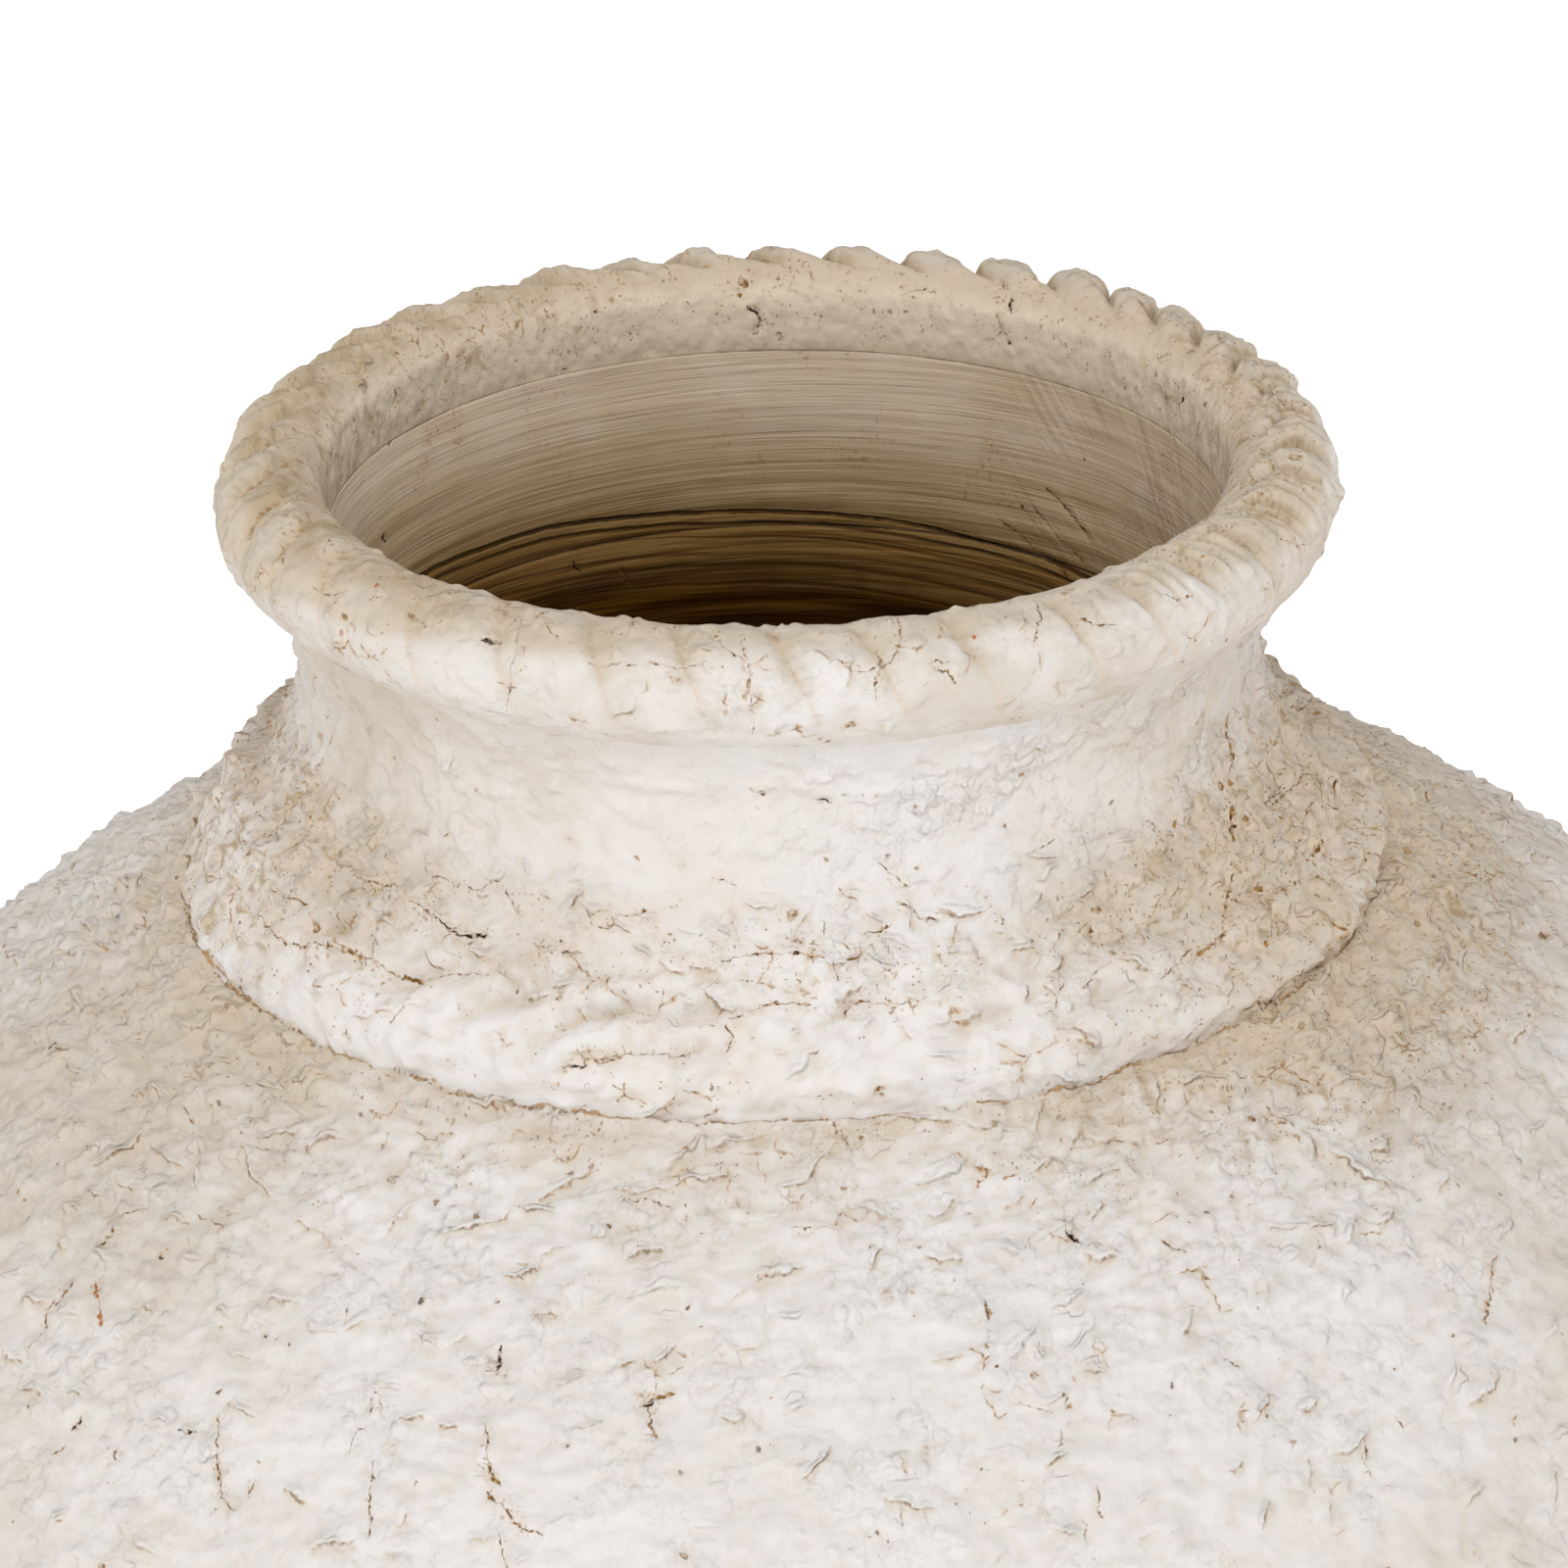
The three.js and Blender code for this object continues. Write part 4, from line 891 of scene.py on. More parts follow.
def upper_body():
    outer = [(lower_at(SEAM_Z + 0.35), SEAM_Z + 0.35), (BELLY_R - 0.2, BELLY_Z + 14)]
    outer += [(r, float(upper_at(r))) for r in (241.5, 232, 216, 196, 176, 159)]
    outer += [(143, 393.6), (128, 402.3), (117, 407.4), (108, 410.2)]
    inner = inset(outer, 11.0)[::-1]
    inner[-1] = (BELLY_R - 11, SEAM_Z + 7.35)
    run = spline(outer, 1.0)
    cut = int(np.argmax(run[:, 0] < 226))
    low = along(run[: cut + 1], (3.0, 1.0))
    prof = profile(
        ("o", np.vstack([low, run[cut + 1 :]])),
        ("h", along([(108, 410.2), (99.5, 411.6), (97, 414), (97, 439.2), (95.5, 440.9), (90.0, 440.9)], 3.0)),
        ("i", spline([(90.0, 440.9), (88.9, 439.6), (88.8, 424), (91, 411)], 0.9)),
        ("i", spline([(91, 411)] + [tuple(v) for v in inner[1:]], (1.6, 9.0))),
        ("h", along([tuple(inner[-1]), outer[0]], 3.0)),
    )
    s = Surface(prof, azimuths(0.31, 0.75), 150.0)
    rings = s.flow.copy()
    near = smooth(200, 135, s.r) * np.ones_like(s.h)
    out = s.out * smooth(242, 246, s.z + 0 * s.h)
    s.h = plaster(s.base, near, 20, s.s) * out * (1 - 0.55 * smooth(124, 118, s.r))
    one = np.ones_like(s.h)
    thick = (0.5 + 0.5 * smooth(205, 140, s.r)) * smooth(120.5, 124, s.r) * smooth(244, 250, s.z) * one
    away = 0.35 + 0.65 * smooth(170, 120, np.abs(angle_gap(s.deg, -90)))
    long = 1.25 + 1.1 * smooth(180, 130, s.p[:, 0])
    dabs(s, 17.0, 500, 2.3, 1.5, thick * away, turn=-14, spread=30, wide=long, mark=False)
    dabs(s, 75.0, 501, 2.3, 2.0, thick * (0.3 + 0.7 * smooth(-0.25, 0.3, fbm(s.base, 40, 2, 511))), turn=-14, spread=24, wide=long)
    # inside: throwing rings
    ring = perlin(np.stack([rings[..., 0] / 90, rings[..., 1] / 90, rings[..., 2] / 2.6], -1), 61)
    ring2 = perlin(np.stack([rings[..., 0] / 120, rings[..., 1] / 120, rings[..., 2] / 6.5], -1), 62)
    deep = smooth(442, 437, s.z)
    s.flow = settle(s.base)
    s.h = s.h + s.ins * (0.45 * ring + 0.8 * ring2) * deep
    lay_features(s)
    cavity(s)
    s.attrs["crust"] = 0.85 - 0.3 * smooth(180, 212, s.r) * smooth(60, 30, np.abs(angle_gap(s.deg, -85))) * np.ones_like(s.h)
    # beiger near the collar, partly dirt and partly painted shade on the flat shoulder beside the neck; beiger away
    # from the front, partly painted shade; a beige patch near the collar at the back right
    s.attrs["tone_and_shade"] = np.clip(smooth(175, 122, s.r) * (0.5 + 0.3 * np.cos(np.radians(angle_gap(s.deg, 20)))) + side_beige_and_shade(s) + 0.4 * smooth(45, 15, np.abs(angle_gap(s.deg, 42))) * smooth(200, 160, s.r), 0, 1) * np.ones_like(s.h)
    edge = 123.5 + np.interp(s.deg, SEAM_EDGE_DEG, SEAM_EDGE_R)
    s.attrs["seam"] = (s.r - edge) * np.ones_like(s.h)
    one = np.ones_like(s.h)
    right = smooth(75, 25, np.abs(angle_gap(s.deg, -5)))
    s.attrs["dirt"] = np.clip(0.26 + 0.3 * smooth(175, 125, s.r) * one + 0.5 * right * smooth(185, 130, s.r) * one, 0, 1)
    return build("vase_upper_body", s, "upper_body", wash("wash_shoulder", 3.0), brushed("brushed_body"))


# ---------------------------------------------------------------- lower section and floor
def lower_body():
    outer = [(float(lower_at(z)), z) for z in (14.35, 40, 68, 98, 130, 164, 202, SEAM_Z)]
    t = [11 + 2 * float(smooth(120, 20, z)) for _, z in outer]
    inner = inset(outer, t)[::-1]
    inner[-1] = (outer[0][0] - 17, 14.35)
    inner[0] = (BELLY_R - 11, SEAM_Z + 7)
    prof = profile(
        ("o", spline(outer, 2.6)),
        ("h", along([outer[-1], tuple(inner[0])], 3.0)),
        ("i", spline([tuple(v) for v in inner], 8.0)),
        ("h", along([tuple(inner[-1]), outer[0]], 4.0)),
    )
    s = Surface(prof, even(560), 200.0)
    s.h = plaster(s.base, np.zeros_like(s.h), 20) * s.out * smooth(14.3, 18, s.z + 0 * s.h) * smooth(242, 238, s.z + 0 * s.h)
    dabs(s, 100.0, 502, 4.0, 1.1, smooth(17, 24, s.z) * smooth(241, 234, s.z) * np.ones_like(s.h))
    ring = perlin(np.stack([s.flow[..., 0] / 120, s.flow[..., 1] / 120, s.flow[..., 2] / 14], -1), 63)
    s.h = s.h + s.ins * 0.8 * ring
    s.flow = settle(s.base)
    lay_features(s)
    cavity(s)
    s.attrs["crust"] = (0.7 + 0.15 * smooth(180, 240, s.z)) * np.ones_like(s.h)
    # beiger away from the front, partly painted shade where the body turns from the light, and beiger towards the foot
    s.attrs["tone_and_shade"] = np.maximum(side_beige_and_shade(s), smooth(60, 15, s.z) * 0.8) * np.ones_like(s.h)
    s.attrs["seam"] = np.full_like(s.h, 50.0)
    s.attrs["dirt"] = 0.3 + 0.35 * smooth(60, 15, s.z) * np.ones_like(s.h)
    return build("vase_lower_body", s, "lower_body", wash("wash_belly", 3.0), brushed("brushed_belly"))


def base_slab():
    prof = profile(
        ("h", along([(0.6, 0.0), (60, 0.0), (FLOOR_R - 1.5, 0.0)], 6.0)),
        ("o", spline([(FLOOR_R - 1.5, 0.0), (BASE_R, 1.9), (float(lower_at(8)), 8), (float(lower_at(14)), 14)], 1.6)),
        ("h", along([(float(lower_at(14)), 14.0), (104, 14.0)], 3.0)),
        ("i", along([(104, 14.0), (60, 14.0), (0.6, 14.0)], 4.0)),
        ("h", along([(0.6, 14.0), (0.6, 7.0), (0.6, 0.0)], 7.0)),
    )
    s = Surface(prof, even(300), 100.0)
    s.h = plaster(s.base, np.zeros_like(s.h), 20) * s.out * 0.7 * smooth(14, 12.5, s.z + 0 * s.h)
    s.attrs["lump"] = np.stack([s.h * 0 - 6, s.h * 0, s.h * 0], -1)
    s.flow = settle(s.base)
    s.h = s.h + s.ins * 0.5 * perlin(np.stack([s.r / 9 * np.ones_like(s.h), s.h * 0 + 3.3, s.h * 0], -1), 64) * smooth(0, 6, s.r)
    lay_features(s)
    cavity(s)
    s.attrs["crust"] = 0.5 * np.ones_like(s.h)
    s.attrs["tone_and_shade"] = 0.9 * np.ones_like(s.h)
    s.attrs["seam"] = np.full_like(s.h, 50.0)
    s.attrs["dirt"] = 0.7 * np.ones_like(s.h)
    ob = build("vase_base_slab", s, "base_slab", wash("wash_foot", 3.0), brushed("brushed_floor"))
    close_axis(ob.data)
    return ob


# ---------------------------------------------------------------- neck
def neck():
    prof = profile(
        ("h", along([(97.35, 414.4), (100.3, 412.9), (107.2, 412.3), (107.8, 417.0)], 3.0)),
        ("o", spline([(107.8, 417.0), (107.6, 421.5), (106.2, 428), (102.7, 435), (99.3, 443), (97.8, 451), (98.4, 460), (100.7, 467), (104.3, 473.6), (108.3, 478.6), (110.6, 481.8)], 0.8)),
        ("h", along([(110.6, 481.8), (108, 481.9), (93.5, 481.9), (91.35, 481.4)], 4.0)),
        ("i", spline([(91.35, 481.4), (91.0, 479.4), (89.9, 474), (89.0, 467), (88.55, 459), (88.6, 446), (89.0, 442.0), (89.9, 440.8)], 0.8)),
        ("h", along([(89.9, 440.8), (95.6, 441.05), (97.35, 439.4), (97.35, 414.4)], 4.0)),
    )
    s = Surface(prof, even(800), 105.0)
    s.flow[..., 2] = s.z
    one = np.ones_like(s.h)
    f = s.flow
    foot = smooth(452, 428, f[..., 2])
    wipe = smooth(462, 476, s.z) * one
    front = smooth(62, 25, np.abs(angle_gap(s.deg, -85)))
    east = smooth(100, 55, np.abs(angle_gap(s.deg, 5)))
    s.h = (coat(f, 0.42 + 0.3 * east + 0.5 * foot) * (1 - 0.25 * wipe) + fingers(s) + tongue(s)) * s.out
    # soft folds that the wiping hand drew down across the left of the neck
    drape = f[..., 2] + 1.1 * np.radians(angle_gap(s.deg, -150)) * 100 + 3 * perlin(f / 25, 233)
    west = smooth(40, 15, np.abs(angle_gap(s.deg, -145))) * smooth(425, 434, s.z) * smooth(480, 474, s.z)
    s.h = s.h + 0.75 * west * perlin(np.stack([drape / 7.5, f[..., 2] / 60, 0 * drape], -1), 234) * s.out
    body = smooth(478, 470, s.z) * smooth(424, 428, s.z)
    dabs(s, 15.0, 513, 2.0, 1.4, (0.35 + 0.15 * east * (1 - foot) + 0.65 * foot) * body, spread=40, wide=1.3, mark=False)
    dabs(s, 60.0, 503, 2.0, 1.3, (0.06 + 0.94 * foot) * body, spread=34, wide=1.3)
    ring = perlin(np.stack([f[..., 0] / 70, f[..., 1] / 70, (f[..., 2] + 1.5 * perlin(f / 45, 220)) / 2.2], -1), 221)
    ring2 = perlin(np.stack([f[..., 0] / 90, f[..., 1] / 90, (f[..., 2] + 2.0 * perlin(f / 60, 222)) / 4.4], -1), 223)
    low = smooth(456, 446, s.z)
    s.h = s.h + s.ins * (0.07 * ring + (0.12 + 0.3 * low) * ring2 + 0.25 * fbm(f, 22, 2, 225)) * smooth(481.5, 478, s.z)
    lay_features(s)
    cavity(s)
    s.attrs["dirt"], s.attrs["tone_and_shade"] = stained(s.deg * one, f[..., 2])
    s.attrs["crust"] = np.clip(0.6 + 0.8 * east + 0.5 * foot + 0.5 * smooth(34, 14, np.abs(angle_gap(s.deg, -55))), 0, 1.35) * (1 - 0.5 * pressed(s))
    s.attrs["seam"] = np.full_like(s.h, 50.0)
    s.attrs["joint"] = (s.z - 479.2) * one
    arc = np.radians(angle_gap(s.deg, 40)) * 88.5
    slant = smooth(28, 16, np.abs(angle_gap(s.deg, 34))) * smooth(436, 444, s.z) * smooth(0.0, 0.35, 0.3 + perlin(f / 20, 227))
    s.attrs["slant"] = np.stack([(s.z - arc) / 1.414 + 1.2 * perlin(f / 18, 228), slant, (s.z + arc) / 1.414], -1)
    return build("vase_neck", s, "neck", wash("wash_neck", 23.0, joint=True), brushed("brushed_neck"))


# ---------------------------------------------------------------- collar coil
def collar_coil():
    prof = profile(
        ("h", along([(109.3, 412.4), (113, 409.0), (118, 405.6), (123.2, 402.6)], 3.0)),
        (
            "o",
            spline(
                [(123.2, 402.6), (123.5, 404.0), (123.2, 407.6), (122.4, 411.6), (120.7, 415.6), (117.6, 419.0), (114.2, 422.2), (110.8, 425.4), (107.8, 428.6), (105.4, 431.8), (103.4, 435.2), (101.7, 438.4), (100.2, 441.4), (98.8, 443.7)],
                0.65,
            ),
        ),
        ("h", along([(98.8, 443.7), (98.2, 442.0), (101.5, 434.0), (105.0, 424.0), (106.5, 418.0), (109.3, 412.4)], 3.0)),
    )
    s = Surface(prof, even(1000), 105.0)
    edge_s = s.s[int(np.argmin(np.abs(s.p[:, 1] - 443.7)))]
    s.flow[..., 2] = (443.7 - (edge_s - s.s))[:, None]
    one = np.ones_like(s.h)
    f = s.flow
    foot = smooth(452, 428, f[..., 2])
    h = coat(f, 0.42 + 0.58 * foot)
    # slanting finger strokes: everywhere as a faint pattern, deep where they were pressed hardest
    up = (s.z - 404) / 22
    wander = 0.5 * perlin(f / 30, 320)
    stroke = 0.5 - 0.5 * np.cos(30 * np.radians(s.deg) - 5.2 * up + 3 * wander)
    amp = 0.2 + 0.4 * smooth(70, 20, np.abs(angle_gap(s.deg, -112))) + 0.3 * smooth(60, 20, np.abs(angle_gap(s.deg, 60)))
    band = smooth(407, 411, s.z) * smooth(430, 422, s.z)
    h = h - 1.3 * amp * band * stroke**1.5
    h = h + fingers(s)
    # a ridge with a valley behind it on the right, a ledge on the left, and a shallow valley at the front
    h = h + tongue(s)
    right = smooth(75, 30, np.abs(angle_gap(s.deg, 5)))
    crest = np.interp(s.deg, [-60, -40, -17, 0, 11, 45], [410.5, 410, 411.5, 415.5, 419.0, 421.0])
    left = smooth(45, 15, np.abs(angle_gap(s.deg, 172)))
    front = smooth(70, 40, np.abs(angle_gap(s.deg, -88)))
    h = h + right * (1.3 * np.exp(-(((s.z - crest) / 2.4) ** 2)) - 2.4 * np.exp(-(((s.z - crest - 7.5) / 3.6) ** 2)))
    h = h + left * (2.6 * np.exp(-(((s.z - 423) / 3.6) ** 2)) - 0.8 * np.exp(-(((s.z - 431) / 2.6) ** 2)))
    h = h + front * (0.9 * np.exp(-(((s.z - 413) / 4.5) ** 2)) - 0.8 * np.exp(-(((s.z - 425) / 4) ** 2)))
    s.h = h * s.out
    edge = np.interp(s.deg, SEAM_EDGE_DEG, SEAM_EDGE_R)
    s.h = s.h + edge * smooth(414, 407, s.z) * s.out + 0 * one
    body = smooth(404.4, 407.5, s.z) * smooth(443.5, 439, s.z) * one
    calm = 1 - 0.55 * pressed(s)
    dabs(s, 15.0, 514, 2.0, 1.6, calm * (0.5 + 0.5 * smooth(412, 420, s.z)) * body, spread=40, wide=1.3, mark=False)
    dabs(s, 48.0, 504, 2.0, 1.8, calm * (0.25 + 0.75 * smooth(414, 422, s.z)) * body, spread=34, wide=1.3)
    lay_features(s)
    cavity(s)
    s.attrs["dirt"], s.attrs["tone_and_shade"] = stained(s.deg * one, f[..., 2])
    rim = smooth(411, 406, s.z) * smooth(62, 38, np.abs(angle_gap(s.deg, -108)))
    s.attrs["tone_and_shade"] = s.attrs["tone_and_shade"] * (1 - 0.8 * rim)
    s.attrs["dirt"] = s.attrs["dirt"] * (1 - 0.5 * rim)
    s.attrs["seam"] = (404.9 - s.z) * one
    s.attrs["crust"] = 0.9 * calm * one
    return build("vase_collar_coil", s, "collar_coil", wash("wash_collar", 23.0))


# ---------------------------------------------------------------- lip coil
# Angles of the pressed grooves round the lip, where they cross its upper outer side.
GROOVES = [172.2, 161.1, 153.3, 147.1, 138.7, 130.2, 119.8, 110.4, 102.1, 93.0, 84.1, 75.3, 65.9, 56.6, 47.5, 39.9, 31.2, 21.8, 11.0, 2.0]
GROOVES += [-6.8, -15.7, -24.5, -33.3, -42.2, -51.0, -60.1, -71.6, -80.9, -89.7, -100.0, -109.1, -119.4, -130.4, -143.9, -152.7, -161.5, -170.2, -179.0]


def lip_coil():
    ring = []
    for q in np.radians(np.arange(-28, 158.01, 6)):
        rz = LIP_T + 1.2 * float(smooth(0, -0.6, q))
        ring.append((LIP_R + LIP_T * math.cos(q), LIP_Z + rz * math.sin(q)))
    prof = profile(
        ("o", spline([(107.2, 477.6), (108.9, 478.9), (110.7, 480.4), (112.1, 482.0)] + ring + [(91.95, 490.6), (91.7, 487.6), (91.5, 484.6), (91.4, 482.4), (91.35, 481.2)], 0.68)),
        ("h", along([(91.35, 481.2), (97, 482.3), (104, 482.0), (106.0, 480.4), (107.2, 477.6)], 3.5)),
    )
    s = Surface(prof, even(1100), 105.0)
    s.flow[..., 2] = (477.6 + s.s)[:, None]
    one = np.ones_like(s.h)
    q = np.degrees(np.arctan2(s.z - LIP_Z, s.r - LIP_R))
    q = np.where(q < -90, q + 360, q) * one
    f = s.flow
    n = len(GROOVES)
    g = np.array(sorted(GROOVES))
    rng = np.random.default_rng(77)
    back = smooth(120, 70, np.abs(angle_gap(s.deg, 90)))
    front = smooth(75, 35, np.abs(angle_gap(s.deg, -92)))
    right = smooth(50, 25, np.abs(angle_gap(s.deg, -8)))
    # a strand leans towards smaller angles on its way from the outer side over the top
    lean = np.where(q < 62, 0.0405 * (q - 62), 0.035 * (q - 62)) + np.maximum(q - 86, 0) * (0.115 - 0.095 * front)
    a = s.deg + lean + 0.35 * perlin(f / 11, 401)
    a = (a + 180) % 360 - 180
    k = np.searchsorted(g, a.ravel()).reshape(a.shape)
    hi, lo = g[k % n], g[(k - 1) % n]
    span_deg = (hi - lo) % 360
    t = np.clip(((hi - a) % 360) / span_deg, 0, 1)
    who = k % n
    span = span_deg * 1.85
    x_left, x_right = t * span, (1 - t) * span
    turn = smooth(75, 105, np.abs(angle_gap(g, 0)))  # lobes left of the back's middle run out longer
    w1 = (1.7 + 0.5 * rng.uniform(-1, 1, n))[who]
    w2 = (3.0 + 3.6 * turn + 0.8 * rng.uniform(-1, 1, n))[who]
    tall = (0.35 * rng.uniform(-1, 1, n))[who]
    lobe = (1 - np.exp(-((x_left / w1) ** 1.35))) * (1 - np.exp(-((x_right / w2) ** 1.3)))
    lobe = lobe / 0.97
    depth = np.where(q > 62, np.exp(-(np.abs((q - 62) / 47) ** 4)), np.exp(-(np.abs((q - 62) / 44) ** 2.6)))
    force = 0.6 + 0.4 * back - 0.08 * front
    force = np.maximum(force, 0.85 * smooth(60, 20, np.abs(angle_gap(s.deg, 178))))
    force = np.maximum(force, 1.0 * smooth(50, 22, np.abs(angle_gap(s.deg, 2))))
    h = -(3.4 + 1.7 * back) * depth * force * (1 - lobe) + depth * force * (0.55 * np.sin(np.pi * t) + tall)
    h -= 0.42 * np.exp(-(((q - 12) / 34) ** 2)) * np.exp(-(np.minimum(x_left, x_right + 1) / 1.6) ** 2) * (0.5 + 0.5 * front)
    # fine parallel ridges between the grooves, clearest on the right
    thin = np.zeros_like(s.h)
    for seed_k, where in ((5, 0.30), (6, 0.54), (7, 0.76)):
        r2 = np.random.default_rng(seed_k)
        spot = (where + 0.08 * r2.uniform(-1, 1, n))[who]
        amt = (r2.uniform(0, 1, n) ** 0.9)[who]
        cutin = amt * np.exp(-((((t - spot) * span) / 0.7) ** 2)) * np.exp(-(((q - 64) / 40) ** 2))
        h -= (0.12 + 2.2 * right + 0.3 * back) * cutin
        thin = np.maximum(thin, cutin)
    warp = np.stack([perlin(f / 9, 421), perlin(f / 9, 422), perlin(f / 9, 423)], -1)
    w = f + 2 * warp
    inside = smooth(88, 112, q)
    lap = (1 - 0.8 * inside) * 0.3 * overlaps(w, 7, 431) + 0.2 * overlaps(w, 3.6, 437)
    own = 0.5 * fbm(f, 18, 2, 413) + (0.5 + 0.5 * smooth(-0.3, 0.4, fbm(f, 30, 2, 441))) * (lap - 0.15) + 0.1 * fbm(w, 2.2, 2, 443)
    edge = smooth(-20, -50, q)
    h = h + (1 - edge) * (own + 0.7 * fbm(f, 60, 2, 211)) + edge * coat(f, 0.42)
    h = h * (1 - 0.5 * smooth(150, 175, q)) * smooth(222, 212, q)
    s.h = h * s.out
    dabs(s, 15.0, 515, 1.8, 0.8, smooth(482, 484, s.z) * smooth(125, 95, q), spread=60, wide=1.2, mark=False)
    dabs(s, 60.0, 505, 1.7, 0.9, smooth(482, 484, s.z) * smooth(150, 100, q), spread=60, wide=1.2)
    dn = depth * force
    # crease and hollow set where the material paints sand, beige and brown in the grooves: partly stain, partly painted
    # shade
    s.attrs["crease"] = dn * np.maximum(np.exp(-((x_left / 0.75) ** 2)), 0.7 * np.exp(-((x_right / 0.6) ** 2)))
    s.attrs["stripe"] = (0.3 + 0.7 * front) * smooth(-34, -20, q) * smooth(48, 30, q) * np.exp(-((np.minimum(x_left, x_right + 0.4) / 0.7) ** 2))
    s.attrs["below"] = (s.z - 481.2) * smooth(150, 165, q) + 50 * smooth(165, 150, q)
    s.attrs["hollow"] = np.clip(depth * (0.5 + 0.5 * force) * (1 - lobe) + 0.45 * dn * np.exp(-((x_left / 2.6) ** 2)) + (0.2 + 1.3 * right) * thin, 0, 1)
    lay_features(s)
    cavity(s)
    side = smooth(90, 30, np.abs(angle_gap(s.deg, 178))) * one
    # the lip is beiger away from the front, partly its own colour and partly painted shade where it turns from the
    # light, and a little beiger in the grooves, partly stain and partly painted shade
    lip_side_beige_and_shade = smooth(15, 70, np.abs(angle_gap(s.deg, -98)))
    s.attrs["tone_and_shade"] = np.clip(0.36 + 0.2 * lip_side_beige_and_shade + 0.22 * smooth(22, 10, np.abs(angle_gap(s.deg, -66))) + smooth(38, 84, q + 16 * perlin(f / 20, 451) + 40 * side + 16 * (1 - front)) + 0.1 * (1 - lobe), 0, 1)
    # paler inside the lip, most at the back: partly the inner coat's own lighter colour, partly painted light over the
    # shade of the inner band that faces down
    s.attrs["pale"] = (smooth(88, 118, q) + 0.5 * smooth(120, 160, q)) * (0.4 + 0.6 * back)
    s.attrs["crust"] = 0.75 * one * (1 - 0.85 * inside)
    s.attrs["soiled"] = (0.55 * right + 0.4 * back) * smooth(20, 50, q) * smooth(130, 100, q)
    s.attrs["khaki"] = side * smooth(35, 70, q) * smooth(150, 115, q)
    s.attrs["dirt"] = np.clip(0.25 + 0.35 * smooth(45, 80, q) + 0.2 * side + 0.3 * right, 0, 1)
    s.attrs["seam"] = np.full_like(s.h, 50.0)
    s.attrs["joint"] = (f[..., 2] - 479.6) * one
    return build("vase_lip_coil", s, "lip_coil", wash("wash_lip", 23.0, lip=True, joint=True))

# ---------------------------------------------------------------- materials
def srgb(r, g, b):
    return tuple((v / 255 / 12.92 if v <= 10 else ((v / 255 + 0.055) / 1.055) ** 2.4) for v in (r, g, b)) + (1.0,)


